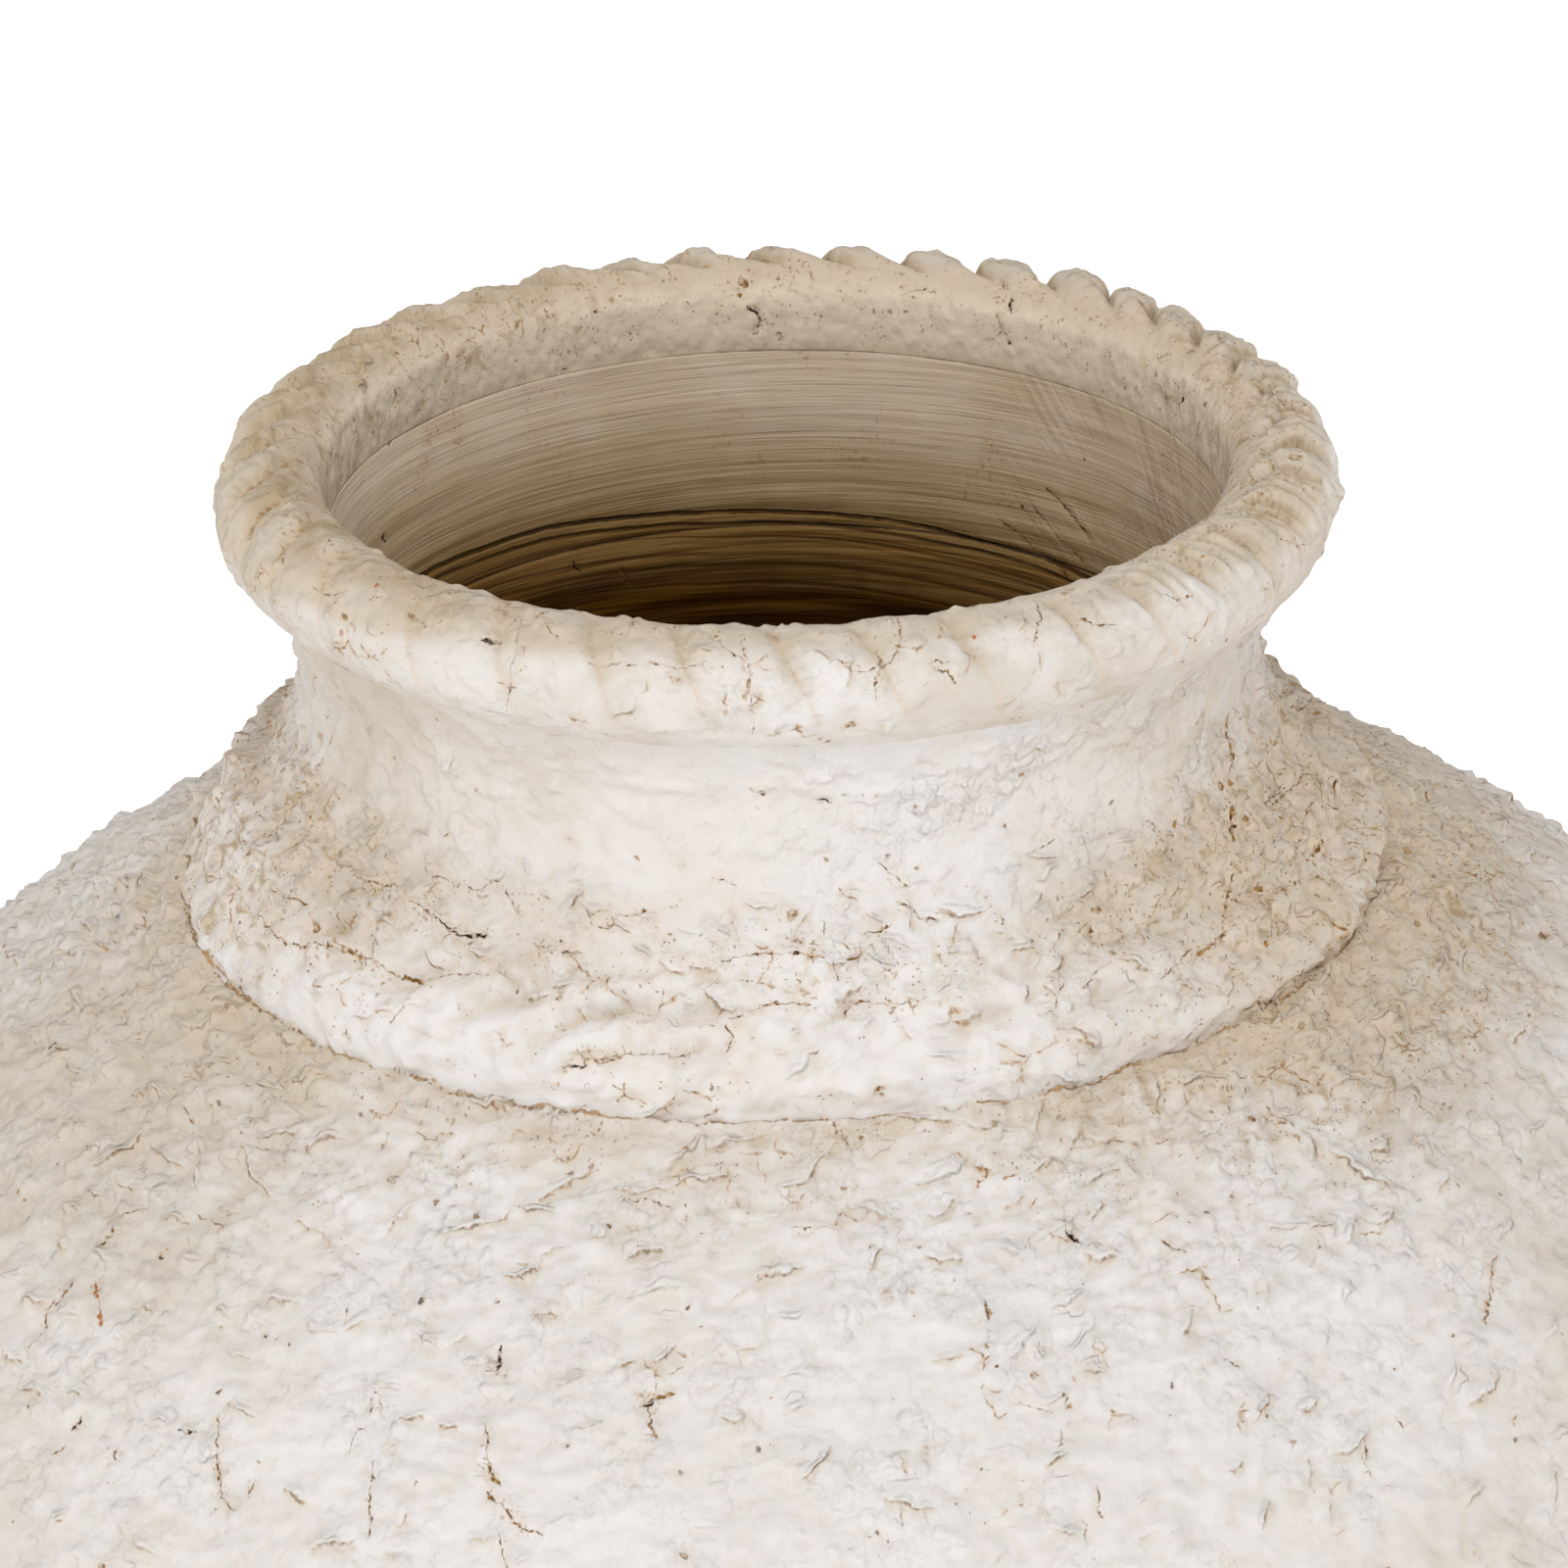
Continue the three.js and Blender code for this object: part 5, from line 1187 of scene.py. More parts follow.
class Net:
    """Short names for the shader nodes of one material."""

    def __init__(self, name):
        self.mat = bpy.data.materials.new(name)
        self.mat.use_nodes = True
        self.t = self.mat.node_tree
        self.t.nodes.clear()
        self.flow = None

    def node(self, kind, inputs=(), **props):
        n = self.t.nodes.new(kind)
        for k, v in props.items():
            setattr(n, k, v)
        for key, v in dict(inputs).items():
            if isinstance(v, bpy.types.NodeSocket):
                self.t.links.new(v, n.inputs[key])
            else:
                n.inputs[key].default_value = v
        return n

    def attr(self, name, out="Fac"):
        return self.node("ShaderNodeAttribute", attribute_type="GEOMETRY", attribute_name=name).outputs[out]

    def math(self, op, a, b=0.0, c=0.0, clamp=False):
        return self.node("ShaderNodeMath", {0: a, 1: b, 2: c}, operation=op, use_clamp=clamp).outputs[0]

    def add(self, *xs):
        out = xs[0]
        for x in xs[1:]:
            out = self.math("ADD", out, x)
        return out

    def mul(self, *xs):
        out = xs[0]
        for x in xs[1:]:
            out = self.math("MULTIPLY", out, x)
        return out

    def step(self, a, b, x, lo=0.0, hi=1.0):
        """0 below a, 1 above b, smooth between; b may be below a."""
        if a > b:
            a, b, lo, hi = b, a, hi, lo
        return self.node("ShaderNodeMapRange", {0: x, 1: a, 2: b, 3: lo, 4: hi}, interpolation_type="SMOOTHSTEP").outputs[0]

    def vec(self, op, a, b=(0, 0, 0)):
        n = self.node("ShaderNodeVectorMath", {0: a, 1: b}, operation=op)
        return n.outputs["Value" if op in ("LENGTH", "DOT_PRODUCT") else "Vector"]

    def noise(self, size, detail=2.0, rough=0.5, warp=0.0, stretch=(1, 1, 1), at=None, shift=0.0):
        v = self.node(
            "ShaderNodeMapping", {0: at or self.flow, 1: (shift, shift * 0.37, shift * 1.9), 3: tuple(s / size for s in stretch)}
        ).outputs[0]
        return self.node("ShaderNodeTexNoise", {"Vector": v, "Scale": 1.0, "Detail": detail, "Roughness": rough, "Distortion": warp}).outputs[0]

    def cells(self, size, shift=0.0):
        v = self.node("ShaderNodeMapping", {0: self.flow, 1: (shift, shift * 0.7, shift), 3: (1 / size,) * 3}).outputs[0]
        n = self.node("ShaderNodeTexVoronoi", {"Vector": v, "Scale": 1.0, "Randomness": 1.0})
        return n.outputs["Distance"], n.outputs["Color"]

    def warped(self, size, amount, shift=0.0):
        """The flow coordinates pushed about by a noise, amount millimetres each way."""
        v = self.node("ShaderNodeMapping", {0: self.flow, 1: (shift, shift * 0.4, shift * 1.3), 3: (1 / size,) * 3}).outputs[0]
        c = self.node("ShaderNodeTexNoise", {"Vector": v, "Scale": 1.0, "Detail": 2.0}).outputs["Color"]
        push = self.node("ShaderNodeVectorMath", {0: self.vec("SUBTRACT", c, (0.5, 0.5, 0.5)), "Scale": 2.0 * amount}, operation="SCALE").outputs[0]
        return self.vec("ADD", self.flow, push)

    def net(self, size, at, shift=0.0):
        """Distance in millimetres from the nearest border between random cells."""
        v = self.node("ShaderNodeMapping", {0: at, 1: (shift, shift * 0.7, shift), 3: (1 / size,) * 3}).outputs[0]
        n = self.node("ShaderNodeTexVoronoi", {"Vector": v, "Scale": 1.0, "Randomness": 1.0}, feature="DISTANCE_TO_EDGE")
        return self.mul(n.outputs["Distance"], size)

    def pebbles(self, size, at, shift=0.0):
        """Rounded grains with a crease between them, 1 at the middle of each."""
        v = self.node("ShaderNodeMapping", {0: at, 1: (shift, shift * 0.7, shift), 3: (1 / size,) * 3}).outputs[0]
        n = self.node("ShaderNodeTexVoronoi", {"Vector": v, "Scale": 1.0, "Randomness": 1.0})
        return self.step(0.8, 0.1, n.outputs["Distance"])

    def mix(self, f, a, b):
        return self.node("ShaderNodeMix", {0: f, 6: a, 7: b}, data_type="RGBA").outputs[2]

    def parts(self, v):
        return self.node("ShaderNodeSeparateXYZ", {0: v}).outputs

    def window(self, a, b, c, d, x):
        return self.mul(self.step(a, b, x), self.step(c, d, x, 1.0, 0.0))


WHITE = srgb(235, 231, 228)
CREAM = srgb(229, 222, 215)
GREY = srgb(220, 216, 211)
BEIGE = srgb(204, 188, 165)
SAND = srgb(205, 186, 156)
KHAKI = srgb(214, 200, 180)
OCHRE = srgb(180, 136, 76)
BROWN = srgb(128, 86, 36)
DARK = srgb(50, 30, 12)
ORANGE = srgb(205, 120, 58)
ROSE = srgb(223, 202, 180)
WALL = srgb(212, 195, 170)  # the brushed coat inside the neck


def laid_cracks(n, wob, dash, dot):
    """The cracks that are laid out one by one: how much of each colour of line, and of the stain along it."""
    lines = []
    for k in range(3):
        c = n.parts(n.attr("crack%d" % k, "Vector"))
        half = n.attr("wide%d" % k)
        d = n.math("ABSOLUTE", n.add(c[0], wob))
        wide = n.mul(half, n.step(0.35, 0.68, dash, 0.25, 0.9))
        on = n.step(0.03, 0.35, c[1])
        halo = n.mul(n.step(3.4, 0.3, d), on, c[1])
        firm = n.step(0.40, 0.6, n.add(dot, n.mul(n.add(c[1], -0.6), 0.2)), 0.2, 1.0)
        body = n.mul(n.step(1.35, 0.5, n.math("DIVIDE", d, wide)), on, firm)
        lines.append((halo, body, c[2]))
    return lines


def stain_hue(n, kind, dot):
    hue = n.mix(n.step(0.2, 0.9, kind), n.mix(n.step(0.48, 0.66, dot), OCHRE, BROWN), n.mix(n.step(0.4, 0.55, dot), BROWN, DARK))
    return n.mix(n.step(-0.2, -0.9, kind), hue, ORANGE)


def wash(name, seed, lip=False, joint=False):
    """Thick lime wash over fired clay: white on the high places, beige in the hollows (partly dirt, partly painted
    shade), cracked and stained.
    """
    n = Net(name)
    n.flow = n.attr("flow", "Vector")
    big = n.noise(44, 2, 0.5, 0.2, shift=seed)
    mid = n.noise(11, 3, 0.55, 0.4, shift=seed + 5)
    small = n.noise(3.1, 2, 0.5, 0.0, shift=seed + 9)
    grain = n.noise(1.2, 1, 0.5, 0.0, shift=seed + 12)
    wander = n.noise(1.4, 2, 0.5, 0.0, shift=seed + 17)
    dash = n.noise(4.5, 1, 0.5, 0.0, shift=seed + 21)
    dot = n.noise(1.1, 1, 0.5, 0.0, shift=seed + 23)
    rag = n.noise(0.75, 1, 0.5, 0.0, shift=seed + 27)
    t = n.attr("tone_and_shade")
    cav = n.attr("cavity")
    dirt = n.attr("dirt")

    # ---- the coat's colour
    col = n.mix(n.mul(n.step(0.38, 0.66, big), 0.45), WHITE, CREAM)
    col = n.mix(n.mul(n.step(0.46, 0.74, mid), 0.35), col, GREY)
    # beige from the shared attribute: partly each piece's own beige colour, partly painted shade where the jar turns
    # from the light, beside the collar, in the fold above it and in the lip's grooves
    t2 = n.add(t, n.mul(n.add(mid, -0.5), 0.7), n.mul(n.add(big, -0.5), 0.5))
    col = n.mix(n.mul(n.step(0.15, 1.1, t2), 0.82 if lip else 0.75), col, BEIGE)
    if lip:
        # paler inside the lip: partly own lighter colour, partly painted light over the shade of the down-facing inner
        # band
        col = n.mix(n.step(0.0, 1.0, n.attr("pale"), 0.0, 0.8), col, srgb(216, 198, 173))
        col = n.mix(n.step(1.0, 1.5, n.attr("pale"), 0.0, 0.85), col, srgb(236, 221, 198))
        col = n.mix(n.mul(n.attr("khaki"), n.step(0.35, 0.65, mid, 0.1, 0.8)), col, srgb(180, 158, 124))
    warmth = n.noise(19, 2, 0.55, 0.5, shift=seed + 31)
    col = n.mix(n.mul(n.step(0.45, 0.8, warmth), n.add(0.08, n.mul(dirt, 0.3))), col, ROSE)
    # khaki in the hollows: partly dirt, partly painted shade
    col = n.mix(n.mul(n.step(0.3, 1.5, cav), n.step(0.25, 0.6, warmth, 0.4, 1.0), n.add(0.12, n.mul(dirt, 0.5))), col, KHAKI)
    # sand down the valleys of the finger strokes: painted shade in their creases
    col = n.mix(n.mul(n.step(0.12, 0.95, n.add(n.attr("valley"), n.mul(n.add(small, -0.5), 0.3))), 0.6), col, SAND)
    cloud = n.noise(7.5, 2, 0.6, 0.6, shift=seed + 37)
    patch = n.step(0.5, 0.78, n.add(cloud, n.mul(n.add(dirt, -0.5), 0.22)))
    col = n.mix(n.mul(patch, n.add(0.08, n.mul(dirt, 0.45))), col, n.mix(n.step(0.4, 0.6, small), ROSE, SAND))

    zone = n.step(0.42, 0.72, n.add(cloud, n.mul(n.add(dirt, -0.45), 0.6)))

    smear = n.noise(6.5, 3, 0.6, 1.2, (1, 1, 1.5), shift=seed + 101)
    col = n.mix(n.mul(n.step(0.5, 0.72, smear), n.step(0.5, 0.85, dirt, 0.0, 0.75)), col, n.mix(n.step(0.35, 0.6, small), srgb(196, 172, 134), srgb(168, 138, 96)))

    # ---- the broken lower edges of the lumps: khaki just below each edge and a broken ochre-brown line along it, painted shade under the edge with some dirt
    lump = n.parts(n.attr("lump", "Vector"))
    below = n.add(lump[0], n.mul(n.add(wander, -0.5), 1.1), n.mul(n.add(small, -0.5), 1.4))
    some = n.step(0.45, 0.62, n.add(n.mul(lump[2], 0.6), n.mul(dash, 0.4), n.mul(dirt, 0.12)))
    foot = n.mul(n.window(-0.1, 0.5, 0.9, 2.6, below), n.step(0.1, 0.45, lump[1]))
    col = n.mix(n.mul(foot, n.add(0.08, n.mul(some, 0.4), n.mul(dirt, 0.2))), col, KHAKI)
    line = n.mul(n.window(0.05, 0.35, 0.5, 0.95, below), n.step(0.16, 0.5, lump[1]), some, n.step(0.42, 0.6, dot, 0.2, 1.0))
    col = n.mix(n.mul(line, 0.62), col, n.mix(n.step(0.5, 0.68, dot), OCHRE, BROWN))

    # ---- fine cracks, in short pieces
    region = n.noise(17, 1, 0.5, 0.0, shift=seed + 41)
    push = n.warped(3.2, 1.6, seed + 43)
    edge1 = n.net(9.0, push, seed)
    mask1 = n.mul(n.step(0.58, 0.66, n.add(region, n.mul(n.add(dirt, -0.4), 0.2))), n.step(0.48, 0.58, dash))
    fine = n.mul(n.step(0.3, 0.08, edge1), mask1)
    glow = n.mul(n.step(2.2, 0.2, edge1), mask1)
    hue = n.mix(n.step(0.5, 0.66, dot), OCHRE, BROWN)
    col = n.mix(n.mul(glow, n.step(0.3, 0.6, small), 0.4), col, n.mix(n.step(0.45, 0.6, mid), KHAKI, ROSE))
    col = n.mix(n.mul(fine, n.step(0.35, 0.6, dot, 0.25, 0.85)), col, hue)

    # ---- stains with a dark core, specks and pinholes
    d3, c3 = n.cells(11.0, seed + 53)
    r3 = n.parts(c3)
    has = n.math("LESS_THAN", r3[0], n.add(-0.06, n.mul(dirt, 0.75)))
    d3 = n.add(n.mul(d3, 11.0), n.mul(n.add(small, -0.5), 4.2), n.mul(n.add(wander, -0.5), 2.2))
    col = n.mix(n.mul(n.step(3.6, 0.4, d3), has, 0.42), col, n.mix(r3[1], KHAKI, ROSE))
    core = n.mul(n.step(0.95, 0.4, d3), has)
    col = n.mix(n.mul(core, n.step(0.35, 0.6, dot, 0.35, 0.95)), col, n.mix(n.step(0.42, 0.62, dot), OCHRE, BROWN))
    d1, c1 = n.cells(4.2, seed + 61)
    r1 = n.parts(c1)
    d1 = n.add(n.mul(d1, 4.2), n.mul(n.add(wander, -0.5), 1.3))
    speck = n.mul(n.step(0.42, 0.16, d1), n.math("LESS_THAN", r1[0], n.add(-0.02, n.mul(dirt, 0.3))))
    col = n.mix(n.mul(speck, n.step(0.0, 1.0, r1[1], 0.35, 0.9)), col, n.mix(n.step(0.3, 0.8, r1[2]), OCHRE, BROWN))

    crumb = n.mul(n.step(0.66, 0.74, n.add(rag, n.mul(n.add(small, -0.5), 0.42), n.mul(n.add(zone, -1.0), 0.12))), n.step(0.0, 0.5, zone))
    col = n.mix(n.mul(crumb, 0.7), col, n.mix(n.step(0.42, 0.58, dot), OCHRE, BROWN))

    # ---- the cracks and pits that are laid out one by one
    cut = None
    wob = n.add(n.mul(n.add(wander, -0.5), 1.5), n.mul(n.add(small, -0.5), 1.8), n.mul(n.add(rag, -0.5), 0.5))
    for halo, body, kind in laid_cracks(n, wob, dash, dot):
        col = n.mix(n.mul(halo, n.step(0.35, 0.62, small), 0.5), col, n.mix(n.step(0.4, 0.6, mid), ROSE, KHAKI))
        col = n.mix(n.mul(halo, n.step(0.64, 0.72, n.add(rag, n.mul(halo, 0.04))), 0.6), col, n.mix(n.step(0.45, 0.62, dot), OCHRE, BROWN))
        col = n.mix(body, col, stain_hue(n, kind, dot))
        cut = body if cut is None else n.math("MAXIMUM", cut, body)
    info = n.parts(n.attr("pit_info", "Vector"))
    ragged = n.math("DIVIDE", n.add(n.mul(n.add(wander, -0.5), 1.7), n.mul(n.add(small, -0.5), 1.5), n.mul(n.add(rag, -0.5), 1.3)), info[2])
    reach = n.add(n.vec("LENGTH", n.attr("pit", "Vector")), ragged)
    col = n.mix(n.mul(n.step(5.0, 1.0, reach), info[0], 0.65, n.step(0.3, 0.6, small)), col, n.mix(n.step(0.4, 0.6, mid), ROSE, KHAKI))
    col = n.mix(n.mul(n.step(4.2, 1.4, reach), info[0], n.step(0.57, 0.66, rag), 0.6), col, n.mix(n.step(0.45, 0.62, dot), OCHRE, BROWN))
    spot = n.mul(n.step(1.15, 0.75, reach), n.step(0.05, 0.3, info[0]))
    col = n.mix(n.mul(spot, n.step(0.0, 1.0, info[0], 0.25, 1.0)), col, stain_hue(n, info[1], dot))

    # ---- the joint between collar and shoulder, and the one under the lip
    seam = n.attr("seam")
    sw = n.add(seam, n.mul(n.add(wander, -0.5), 1.5), n.mul(n.add(small, -0.5), 1.8))
    brk = n.noise(8, 1, 0.5, 0.0, shift=seed + 71)
    gap = n.mul(n.window(-0.5, -0.12, 0.12, 0.45, sw), n.step(0.42, 0.52, n.add(n.mul(brk, 0.5), n.mul(dot, 0.25), n.mul(rag, 0.25))))
    # a sand-khaki band along the collar's foot, mostly on the shoulder below it: partly stain, partly painted shade
    # under the collar
    col = n.mix(n.mul(n.window(-0.8, 0.1, 1, 17, sw), n.step(0.28, 0.6, mid, 0.3, 1.0), n.add(0.04, n.mul(dirt, 0.62))), col, n.mix(n.step(0.4, 0.6, small), SAND, KHAKI))
    col = n.mix(n.mul(gap, 0.8), col, n.mix(n.step(0.48, 0.64, dot), OCHRE, BROWN))
    band = n.mul(n.window(-1.5, 0.0, 2.0, 9, sw), n.step(0.63, 0.71, n.add(rag, n.mul(n.add(brk, -0.5), 0.15), n.mul(n.add(small, -0.5), 0.35))))
    col = n.mix(n.mul(band, n.add(0.0, n.mul(dirt, 0.45))), col, n.mix(n.step(0.45, 0.62, dot), OCHRE, BROWN))
    if joint:
        off = n.add(n.attr("joint"), n.mul(n.add(small, -0.5), 2.0))
        col = n.mix(n.mul(n.window(-0.6, -0.1, 0.1, 0.6, off), n.step(0.48, 0.6, brk), 0.4), col, SAND)

    if lip:
        stripe = n.step(0.25, 0.8, n.add(n.attr("stripe"), n.mul(n.add(dash, -0.5), 0.9)))
        col = n.mix(n.mul(stripe, 0.5), col, ROSE)
        hollow = n.attr("hollow")
        crease = n.attr("crease")
        # sand and darker beige in the grooves, and a brown line down each groove's crease: partly stain, partly painted
        # shade in the grooves and under the overhanging lobes
        col = n.mix(n.mul(n.step(0.1, 0.9, n.add(hollow, n.mul(n.add(small, -0.5), 0.5))), 0.55), col, SAND)
        col = n.mix(n.mul(n.step(0.15, 0.8, n.add(hollow, n.mul(n.add(small, -0.5), 0.8))), n.attr("soiled"), 0.75), col, n.mix(n.step(0.4, 0.6, dot), srgb(188, 168, 140), srgb(162, 136, 102)))
        crack = n.step(0.30, 0.75, n.add(crease, n.mul(n.add(dash, -0.5), 1.1)))
        col = n.mix(n.mul(crack, 0.75), col, n.mix(n.step(0.46, 0.64, dot), OCHRE, BROWN))
        under = n.add(n.attr("below"), n.mul(n.add(mid, -0.5), -5.0), n.mul(n.add(small, -0.5), -3.0))
        col = n.mix(n.step(6.5, 0.2, under), col, WALL)
        col = n.mix(n.mul(n.window(0.0, 0.8, 1.2, 2.4, under), n.step(0.45, 0.62, dash), 0.12), col, OCHRE)

    # ---- relief below the mesh's own, in millimetres
    pads = n.noise(4.6, 1, 0.5, 0.0, shift=seed + 91)
    loose = n.warped(2.4, 0.8, seed + 97)
    bumpy = n.step(0.42, 0.62, n.noise(15, 2, 0.5, 0.0, shift=seed + 83), 0.3, 1.0)
    crust = n.mul(n.add(n.mul(n.pebbles(3.8, loose, 1.3), 0.8), n.mul(n.pebbles(1.7, loose, 4.1), 0.3)), bumpy, n.attr("crust"))
    high = n.add(
        n.mul(n.add(mid, -0.5), 0.8),
        n.mul(n.add(pads, -0.5), 0.9),
        crust,
        n.mul(crumb, -0.12),
        n.mul(n.add(small, -0.5), 0.18),
        n.mul(n.add(grain, -0.5), n.step(0.5, 0.7, cloud, 0.0, 0.12)),
        n.mul(lump[1], n.step(-1.6, -0.1, below), n.step(0.9, 0.0, below), 0.45),
        n.mul(cut, -0.3),
        n.mul(spot, -0.35),
        n.mul(gap, -0.25),
        n.mul(core, -0.3),
    )
    bump = n.node("ShaderNodeBump", {"Height": high, "Distance": 0.001, "Strength": 1.0})
    rough = n.step(0.3, 0.7, small, 0.82, 0.95)
    shader = n.node("ShaderNodeBsdfPrincipled", {"Base Color": col, "Roughness": rough, "Normal": bump.outputs[0], "Specular IOR Level": 0.12})
    n.node("ShaderNodeOutputMaterial", {0: shader.outputs[0]})
    return n.mat


def brushed(name):
    """Inside: a thin brushed coat that gives way to bare clay further down. It is painted darker with depth, to near
    black, as painted shade of the unlit inside, and lighter on the left and darker on the right as painted light and
    shade.
    """
    n = Net(name)
    n.flow = n.attr("flow", "Vector")
    seed = 23.0
    big = n.noise(44, 2, 0.5, 0.2, shift=seed)
    mid = n.noise(11, 3, 0.55, 0.4, shift=seed + 5)
    small = n.noise(3.1, 2, 0.6, 0.3, shift=seed + 9)
    wander = n.noise(1.4, 2, 0.5, 0.0, shift=seed + 17)
    dash = n.noise(4.5, 1, 0.5, 0.0, shift=seed + 21)
    dot = n.noise(1.1, 1, 0.5, 0.0, shift=seed + 23)
    x, _, z = n.parts(n.node("ShaderNodeTexCoord").outputs["Object"])
    z = n.add(z, n.mul(x, 0.065), n.mul(n.add(big, -0.5), 0.003))
    tilt = n.node("ShaderNodeMapping", {0: n.flow, 1: (seed, 0, 0), 2: (0.03, 0.02, 0)}).outputs[0]
    brush = n.noise(1.0, 3, 0.6, 0.0, (0.012, 0.012, 1.1), at=tilt)
    brush2 = n.noise(1.0, 2, 0.5, 0.0, (0.02, 0.02, 0.30), at=n.flow, shift=seed)
    brush3 = n.noise(1.0, 2, 0.55, 0.0, (0.05, 0.05, 2.6), at=tilt, shift=seed + 3)
    warmth = n.noise(19, 2, 0.55, 0.5, shift=seed + 31)
    wall = n.mix(n.step(0.35, 0.65, big), srgb(219, 202, 177), srgb(211, 192, 165))
    # lighter on the left and darker on the right of the inside: painted light and painted shade
    wall = n.mix(n.step(-0.03, -0.075, x, 0.0, 0.35), wall, srgb(232, 215, 188))
    wall = n.mix(n.step(0.03, 0.075, x, 0.0, 0.5), wall, srgb(182, 156, 122))
    wall = n.mix(n.step(0.468, 0.482, z, 0.0, 0.3), wall, srgb(190, 169, 142))
    wall = n.mix(n.mul(n.step(0.45, 0.65, mid), 0.3), wall, srgb(218, 206, 187))
    wall = n.mix(n.mul(n.step(0.50, 0.72, warmth), 0.35), wall, srgb(198, 168, 142))
    wall = n.mix(n.mul(n.step(0.50, 0.68, brush), 0.2), wall, srgb(150, 122, 86))
    wall = n.mix(n.mul(n.step(0.52, 0.68, brush3), 0.16), wall, srgb(140, 114, 80))
    wall = n.mix(n.mul(n.step(0.46, 0.32, brush), 0.3), wall, srgb(226, 212, 190))
    # darker and browner with depth, to near black: partly the bare brown clay below the coat, partly painted shade of
    # the unlit inside
    deep = n.add(z, n.mul(n.add(brush2, -0.5), 0.010), n.mul(n.add(mid, -0.5), 0.006))
    wall = n.mix(n.step(0.474, 0.453, deep), wall, n.mix(n.step(0.38, 0.62, brush), srgb(198, 174, 140), srgb(178, 151, 112)))
    wall = n.mix(n.step(0.455, 0.440, deep), wall, n.mix(n.step(0.38, 0.62, brush), srgb(156, 123, 75), srgb(124, 90, 44)))
    wall = n.mix(n.step(0.441, 0.424, deep), wall, n.mix(n.step(0.40, 0.60, brush2), srgb(93, 60, 15), srgb(60, 33, 4)))
    wall = n.mix(n.step(0.424, 0.400, deep), wall, srgb(47, 24, 3))
    slant = n.parts(n.attr("slant", "Vector"))
    lines = n.node("ShaderNodeCombineXYZ", {0: slant[0], 1: n.mul(slant[2], 0.04)}).outputs[0]
    across = n.noise(1.2, 2, 0.55, 0.0, at=lines, shift=seed)
    wall = n.mix(n.mul(slant[1], n.step(0.52, 0.66, across), 0.25), wall, srgb(132, 104, 70))
    wall = n.mix(n.mul(slant[1], n.step(0.46, 0.34, across), 0.14), wall, srgb(214, 198, 172))
    fleck = n.mul(n.step(0.62, 0.70, dot), n.step(0.5, 0.66, warmth), n.step(0.448, 0.455, z))
    wall = n.mix(n.mul(fleck, 0.5), wall, srgb(140, 92, 48))
    turned = n.node("ShaderNodeCombineXYZ", {0: n.mul(x, 6.0), 2: n.mul(z, 1000.0)}).outputs[0]
    turns = n.noise(1.9, 2, 0.6, 0.0, at=turned, shift=seed)
    ringed = n.step(0.4475, 0.4445, z)
    wall = n.mix(n.mul(ringed, n.step(0.50, 0.62, turns), 0.65), wall, srgb(54, 33, 8))
    wall = n.mix(n.mul(ringed, n.step(0.46, 0.36, turns), n.step(0.418, 0.436, z), 0.4), wall, srgb(150, 118, 72))
    line = n.mul(n.add(z, n.mul(n.add(small, -0.5), 0.0006), -0.4447), 1000.0)
    wall = n.mix(n.mul(n.window(-0.75, -0.3, 0.3, 0.8, line), n.step(0.30, 0.45, mid, 0.4, 0.85)), wall, srgb(54, 34, 10))
    wall = n.mix(n.mul(n.window(-2.9, -2.5, -2.2, -1.8, line), n.step(0.35, 0.5, mid, 0.3, 0.8)), wall, srgb(54, 34, 10))
    cut = None
    wob = n.add(n.mul(n.add(wander, -0.5), 1.3), n.mul(n.add(small, -0.5), 1.2))
    for halo, body, kind in laid_cracks(n, wob, dash, dot):
        wall = n.mix(body, wall, n.mix(n.step(0.2, 0.9, kind), BROWN, DARK))
        cut = body if cut is None else n.math("MAXIMUM", cut, body)
    info = n.parts(n.attr("pit_info", "Vector"))
    ragged = n.math("DIVIDE", n.mul(n.add(wander, -0.5), 1.2), info[2])
    reach = n.add(n.vec("LENGTH", n.attr("pit", "Vector")), ragged)
    spot = n.mul(n.step(1.1, 0.8, reach), n.step(0.05, 0.3, info[0]))
    wall = n.mix(spot, wall, n.mix(n.step(0.2, 0.9, info[1]), BROWN, DARK))
    high = n.add(n.mul(n.add(turns, -0.5), ringed, -0.7), n.mul(n.window(-0.9, -0.2, 0.2, 0.9, line), -0.35), n.mul(n.add(across, -0.5), slant[1], -0.3), n.mul(n.add(brush, -0.5), -0.3), n.mul(n.add(brush3, -0.5), -0.15), n.mul(n.add(brush2, -0.5), -0.5), n.mul(cut, -0.3), n.mul(spot, -0.4))
    bump = n.node("ShaderNodeBump", {"Height": high, "Distance": 0.001, "Strength": 1.0})
    rough = n.step(0.3, 0.7, small, 0.82, 0.95)
    shader = n.node("ShaderNodeBsdfPrincipled", {"Base Color": wall, "Roughness": rough, "Normal": bump.outputs[0], "Specular IOR Level": 0.06})
    n.node("ShaderNodeOutputMaterial", {0: shader.outputs[0]})
    return n.mat


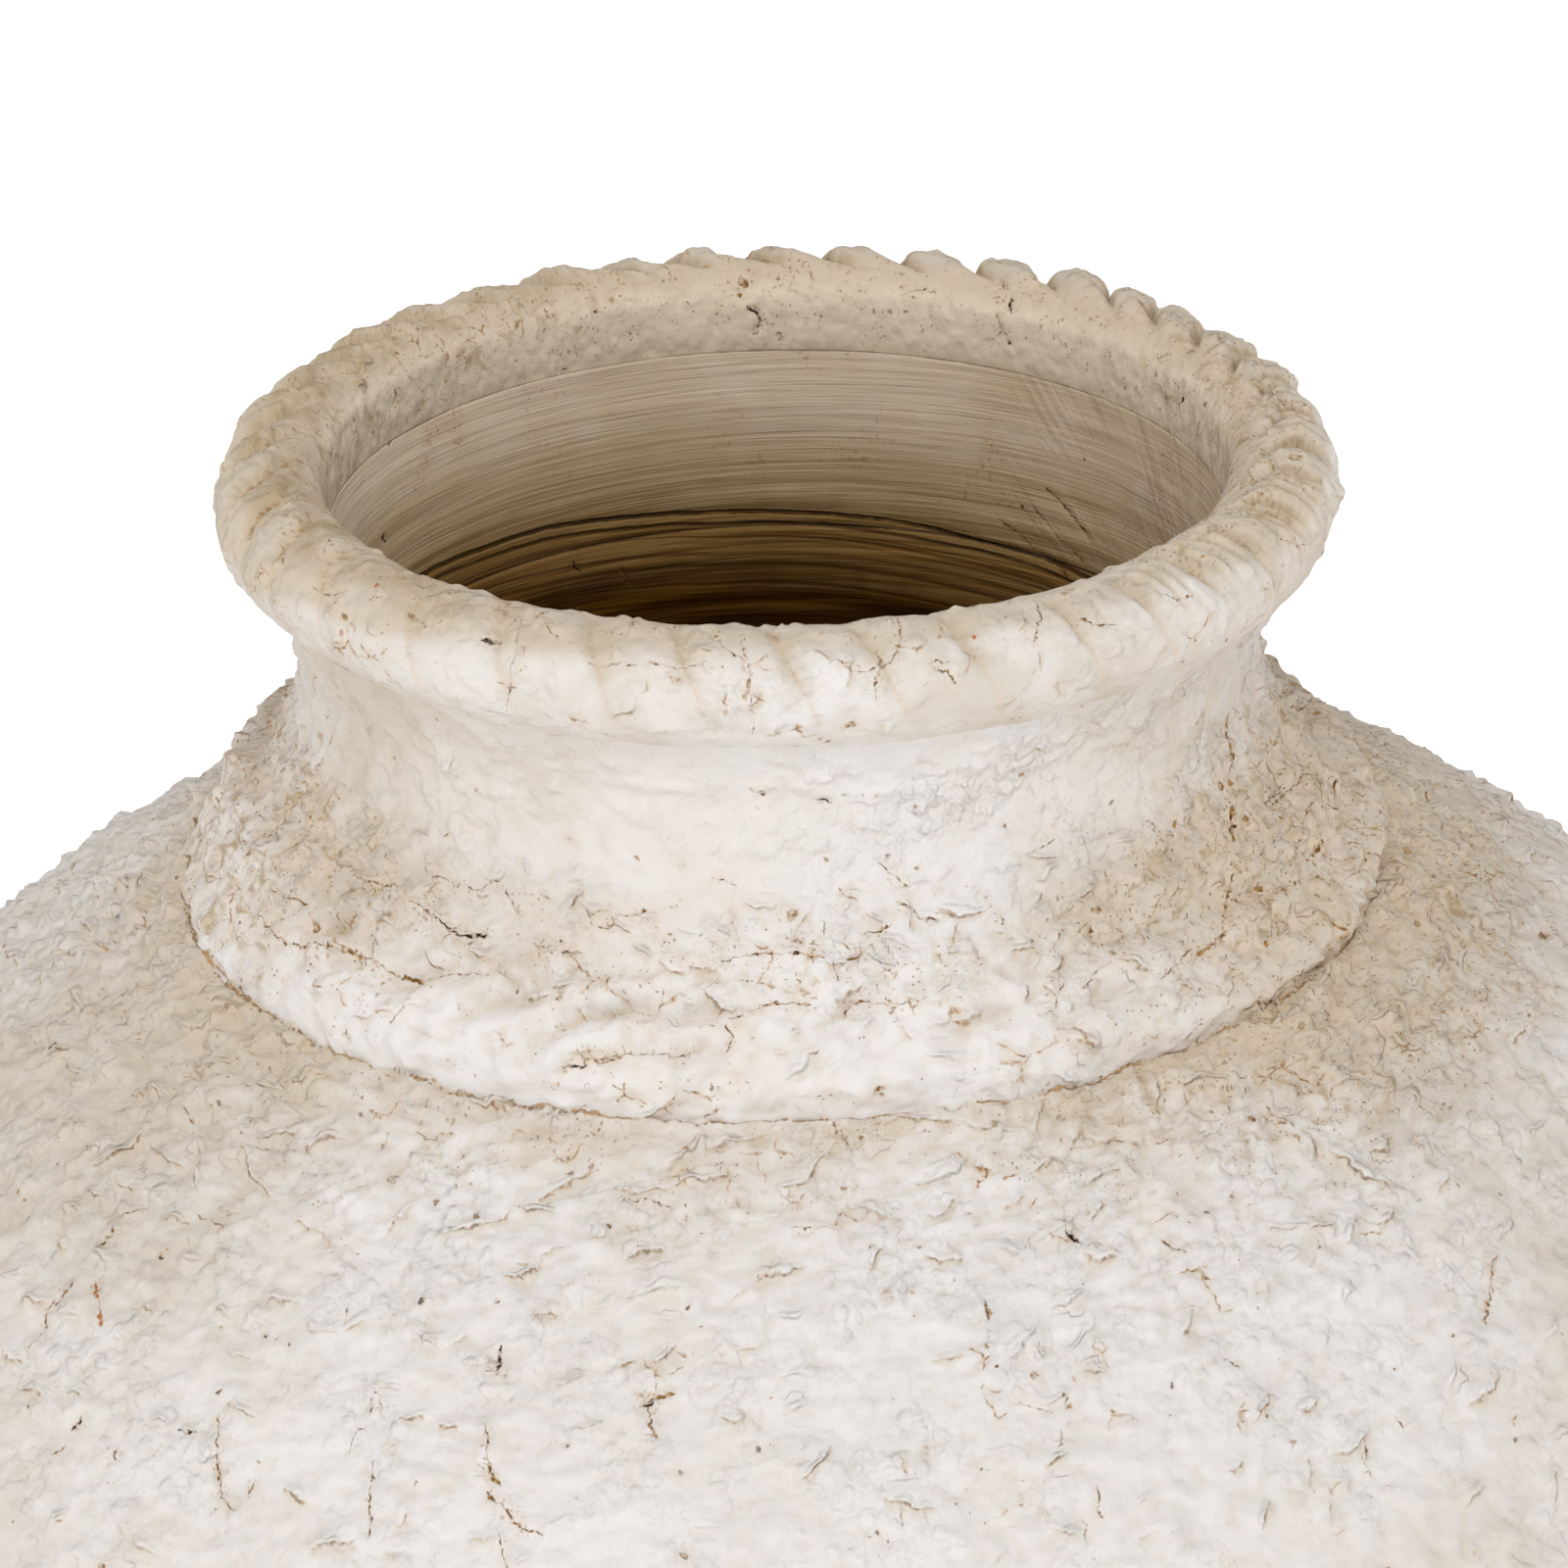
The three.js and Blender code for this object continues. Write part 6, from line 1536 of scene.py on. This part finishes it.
def floor_material():
    """A pale floor that turns into a lit white ground away from the jar."""
    n = Net("pale_floor")
    pos = n.node("ShaderNodeTexCoord").outputs["Object"]
    v = n.node("ShaderNodeTexNoise", {"Vector": pos, "Scale": 3.0, "Detail": 2.0}).outputs[0]
    col = n.mix(n.step(0.3, 0.7, v), (0.88, 0.88, 0.875, 1), (0.91, 0.91, 0.905, 1))
    glow = n.step(0.5, 1.0, n.vec("LENGTH", pos), 0.0, 0.68)
    shader = n.node(
        "ShaderNodeBsdfPrincipled",
        {"Base Color": col, "Roughness": 0.9, "Specular IOR Level": 0.1, "Emission Color": (1, 1, 1, 1), "Emission Strength": glow},
    )
    n.node("ShaderNodeOutputMaterial", {0: shader.outputs[0]})
    return n.mat


# ---------------------------------------------------------------- the studio
def light(name, spot, aim, size, watts, colour=(1, 1, 1)):
    d = bpy.data.lights.new(name, "AREA")
    d.shape = "RECTANGLE"
    d.size, d.size_y = size
    d.energy = watts
    d.color = colour
    o = bpy.data.objects.new(name, d)
    o.location = spot
    o.rotation_euler = (Vector(aim) - Vector(spot)).to_track_quat("-Z", "Y").to_euler()
    bpy.context.scene.collection.objects.link(o)
    return o


def studio():
    me = bpy.data.meshes.new("floor")
    k, n = 9.0, 12
    xs = np.linspace(-k, k, n + 1)
    verts = [(x, y, -0.0006) for y in xs for x in xs]
    faces = [(j * (n + 1) + i, j * (n + 1) + i + 1, (j + 1) * (n + 1) + i + 1, (j + 1) * (n + 1) + i) for j in range(n) for i in range(n)]
    me.from_pydata(verts, [], faces)
    floor = bpy.data.objects.new("floor", me)
    me.materials.append(floor_material())
    bpy.context.scene.collection.objects.link(floor)
    world = bpy.data.worlds.new("studio")
    world.use_nodes = True
    bg = world.node_tree.nodes["Background"]
    bg.inputs["Color"].default_value = (1, 1, 1, 1)
    bg.inputs["Strength"].default_value = 0.39
    bpy.context.scene.world = world
    bpy.context.scene.view_settings.view_transform = "Standard"
    light("front", (0, -1.95, 2.3), (0, 0, 0.44), (1.2, 0.6), 23)
    light("top", (0, -0.4, 2.6), (0, 0, 0.44), (0.6, 0.6), 6)
    light("left", (-2.4, -1.0, 1.4), (0, 0, 0.44), (1.0, 1.0), 11.5)
    light("right", (2.4, -1.0, 1.4), (0, 0, 0.44), (1.0, 1.0), 8)


place_camera()
studio()
upper_body()
lower_body()
base_slab()
neck()
collar_coil()
lip_coil()
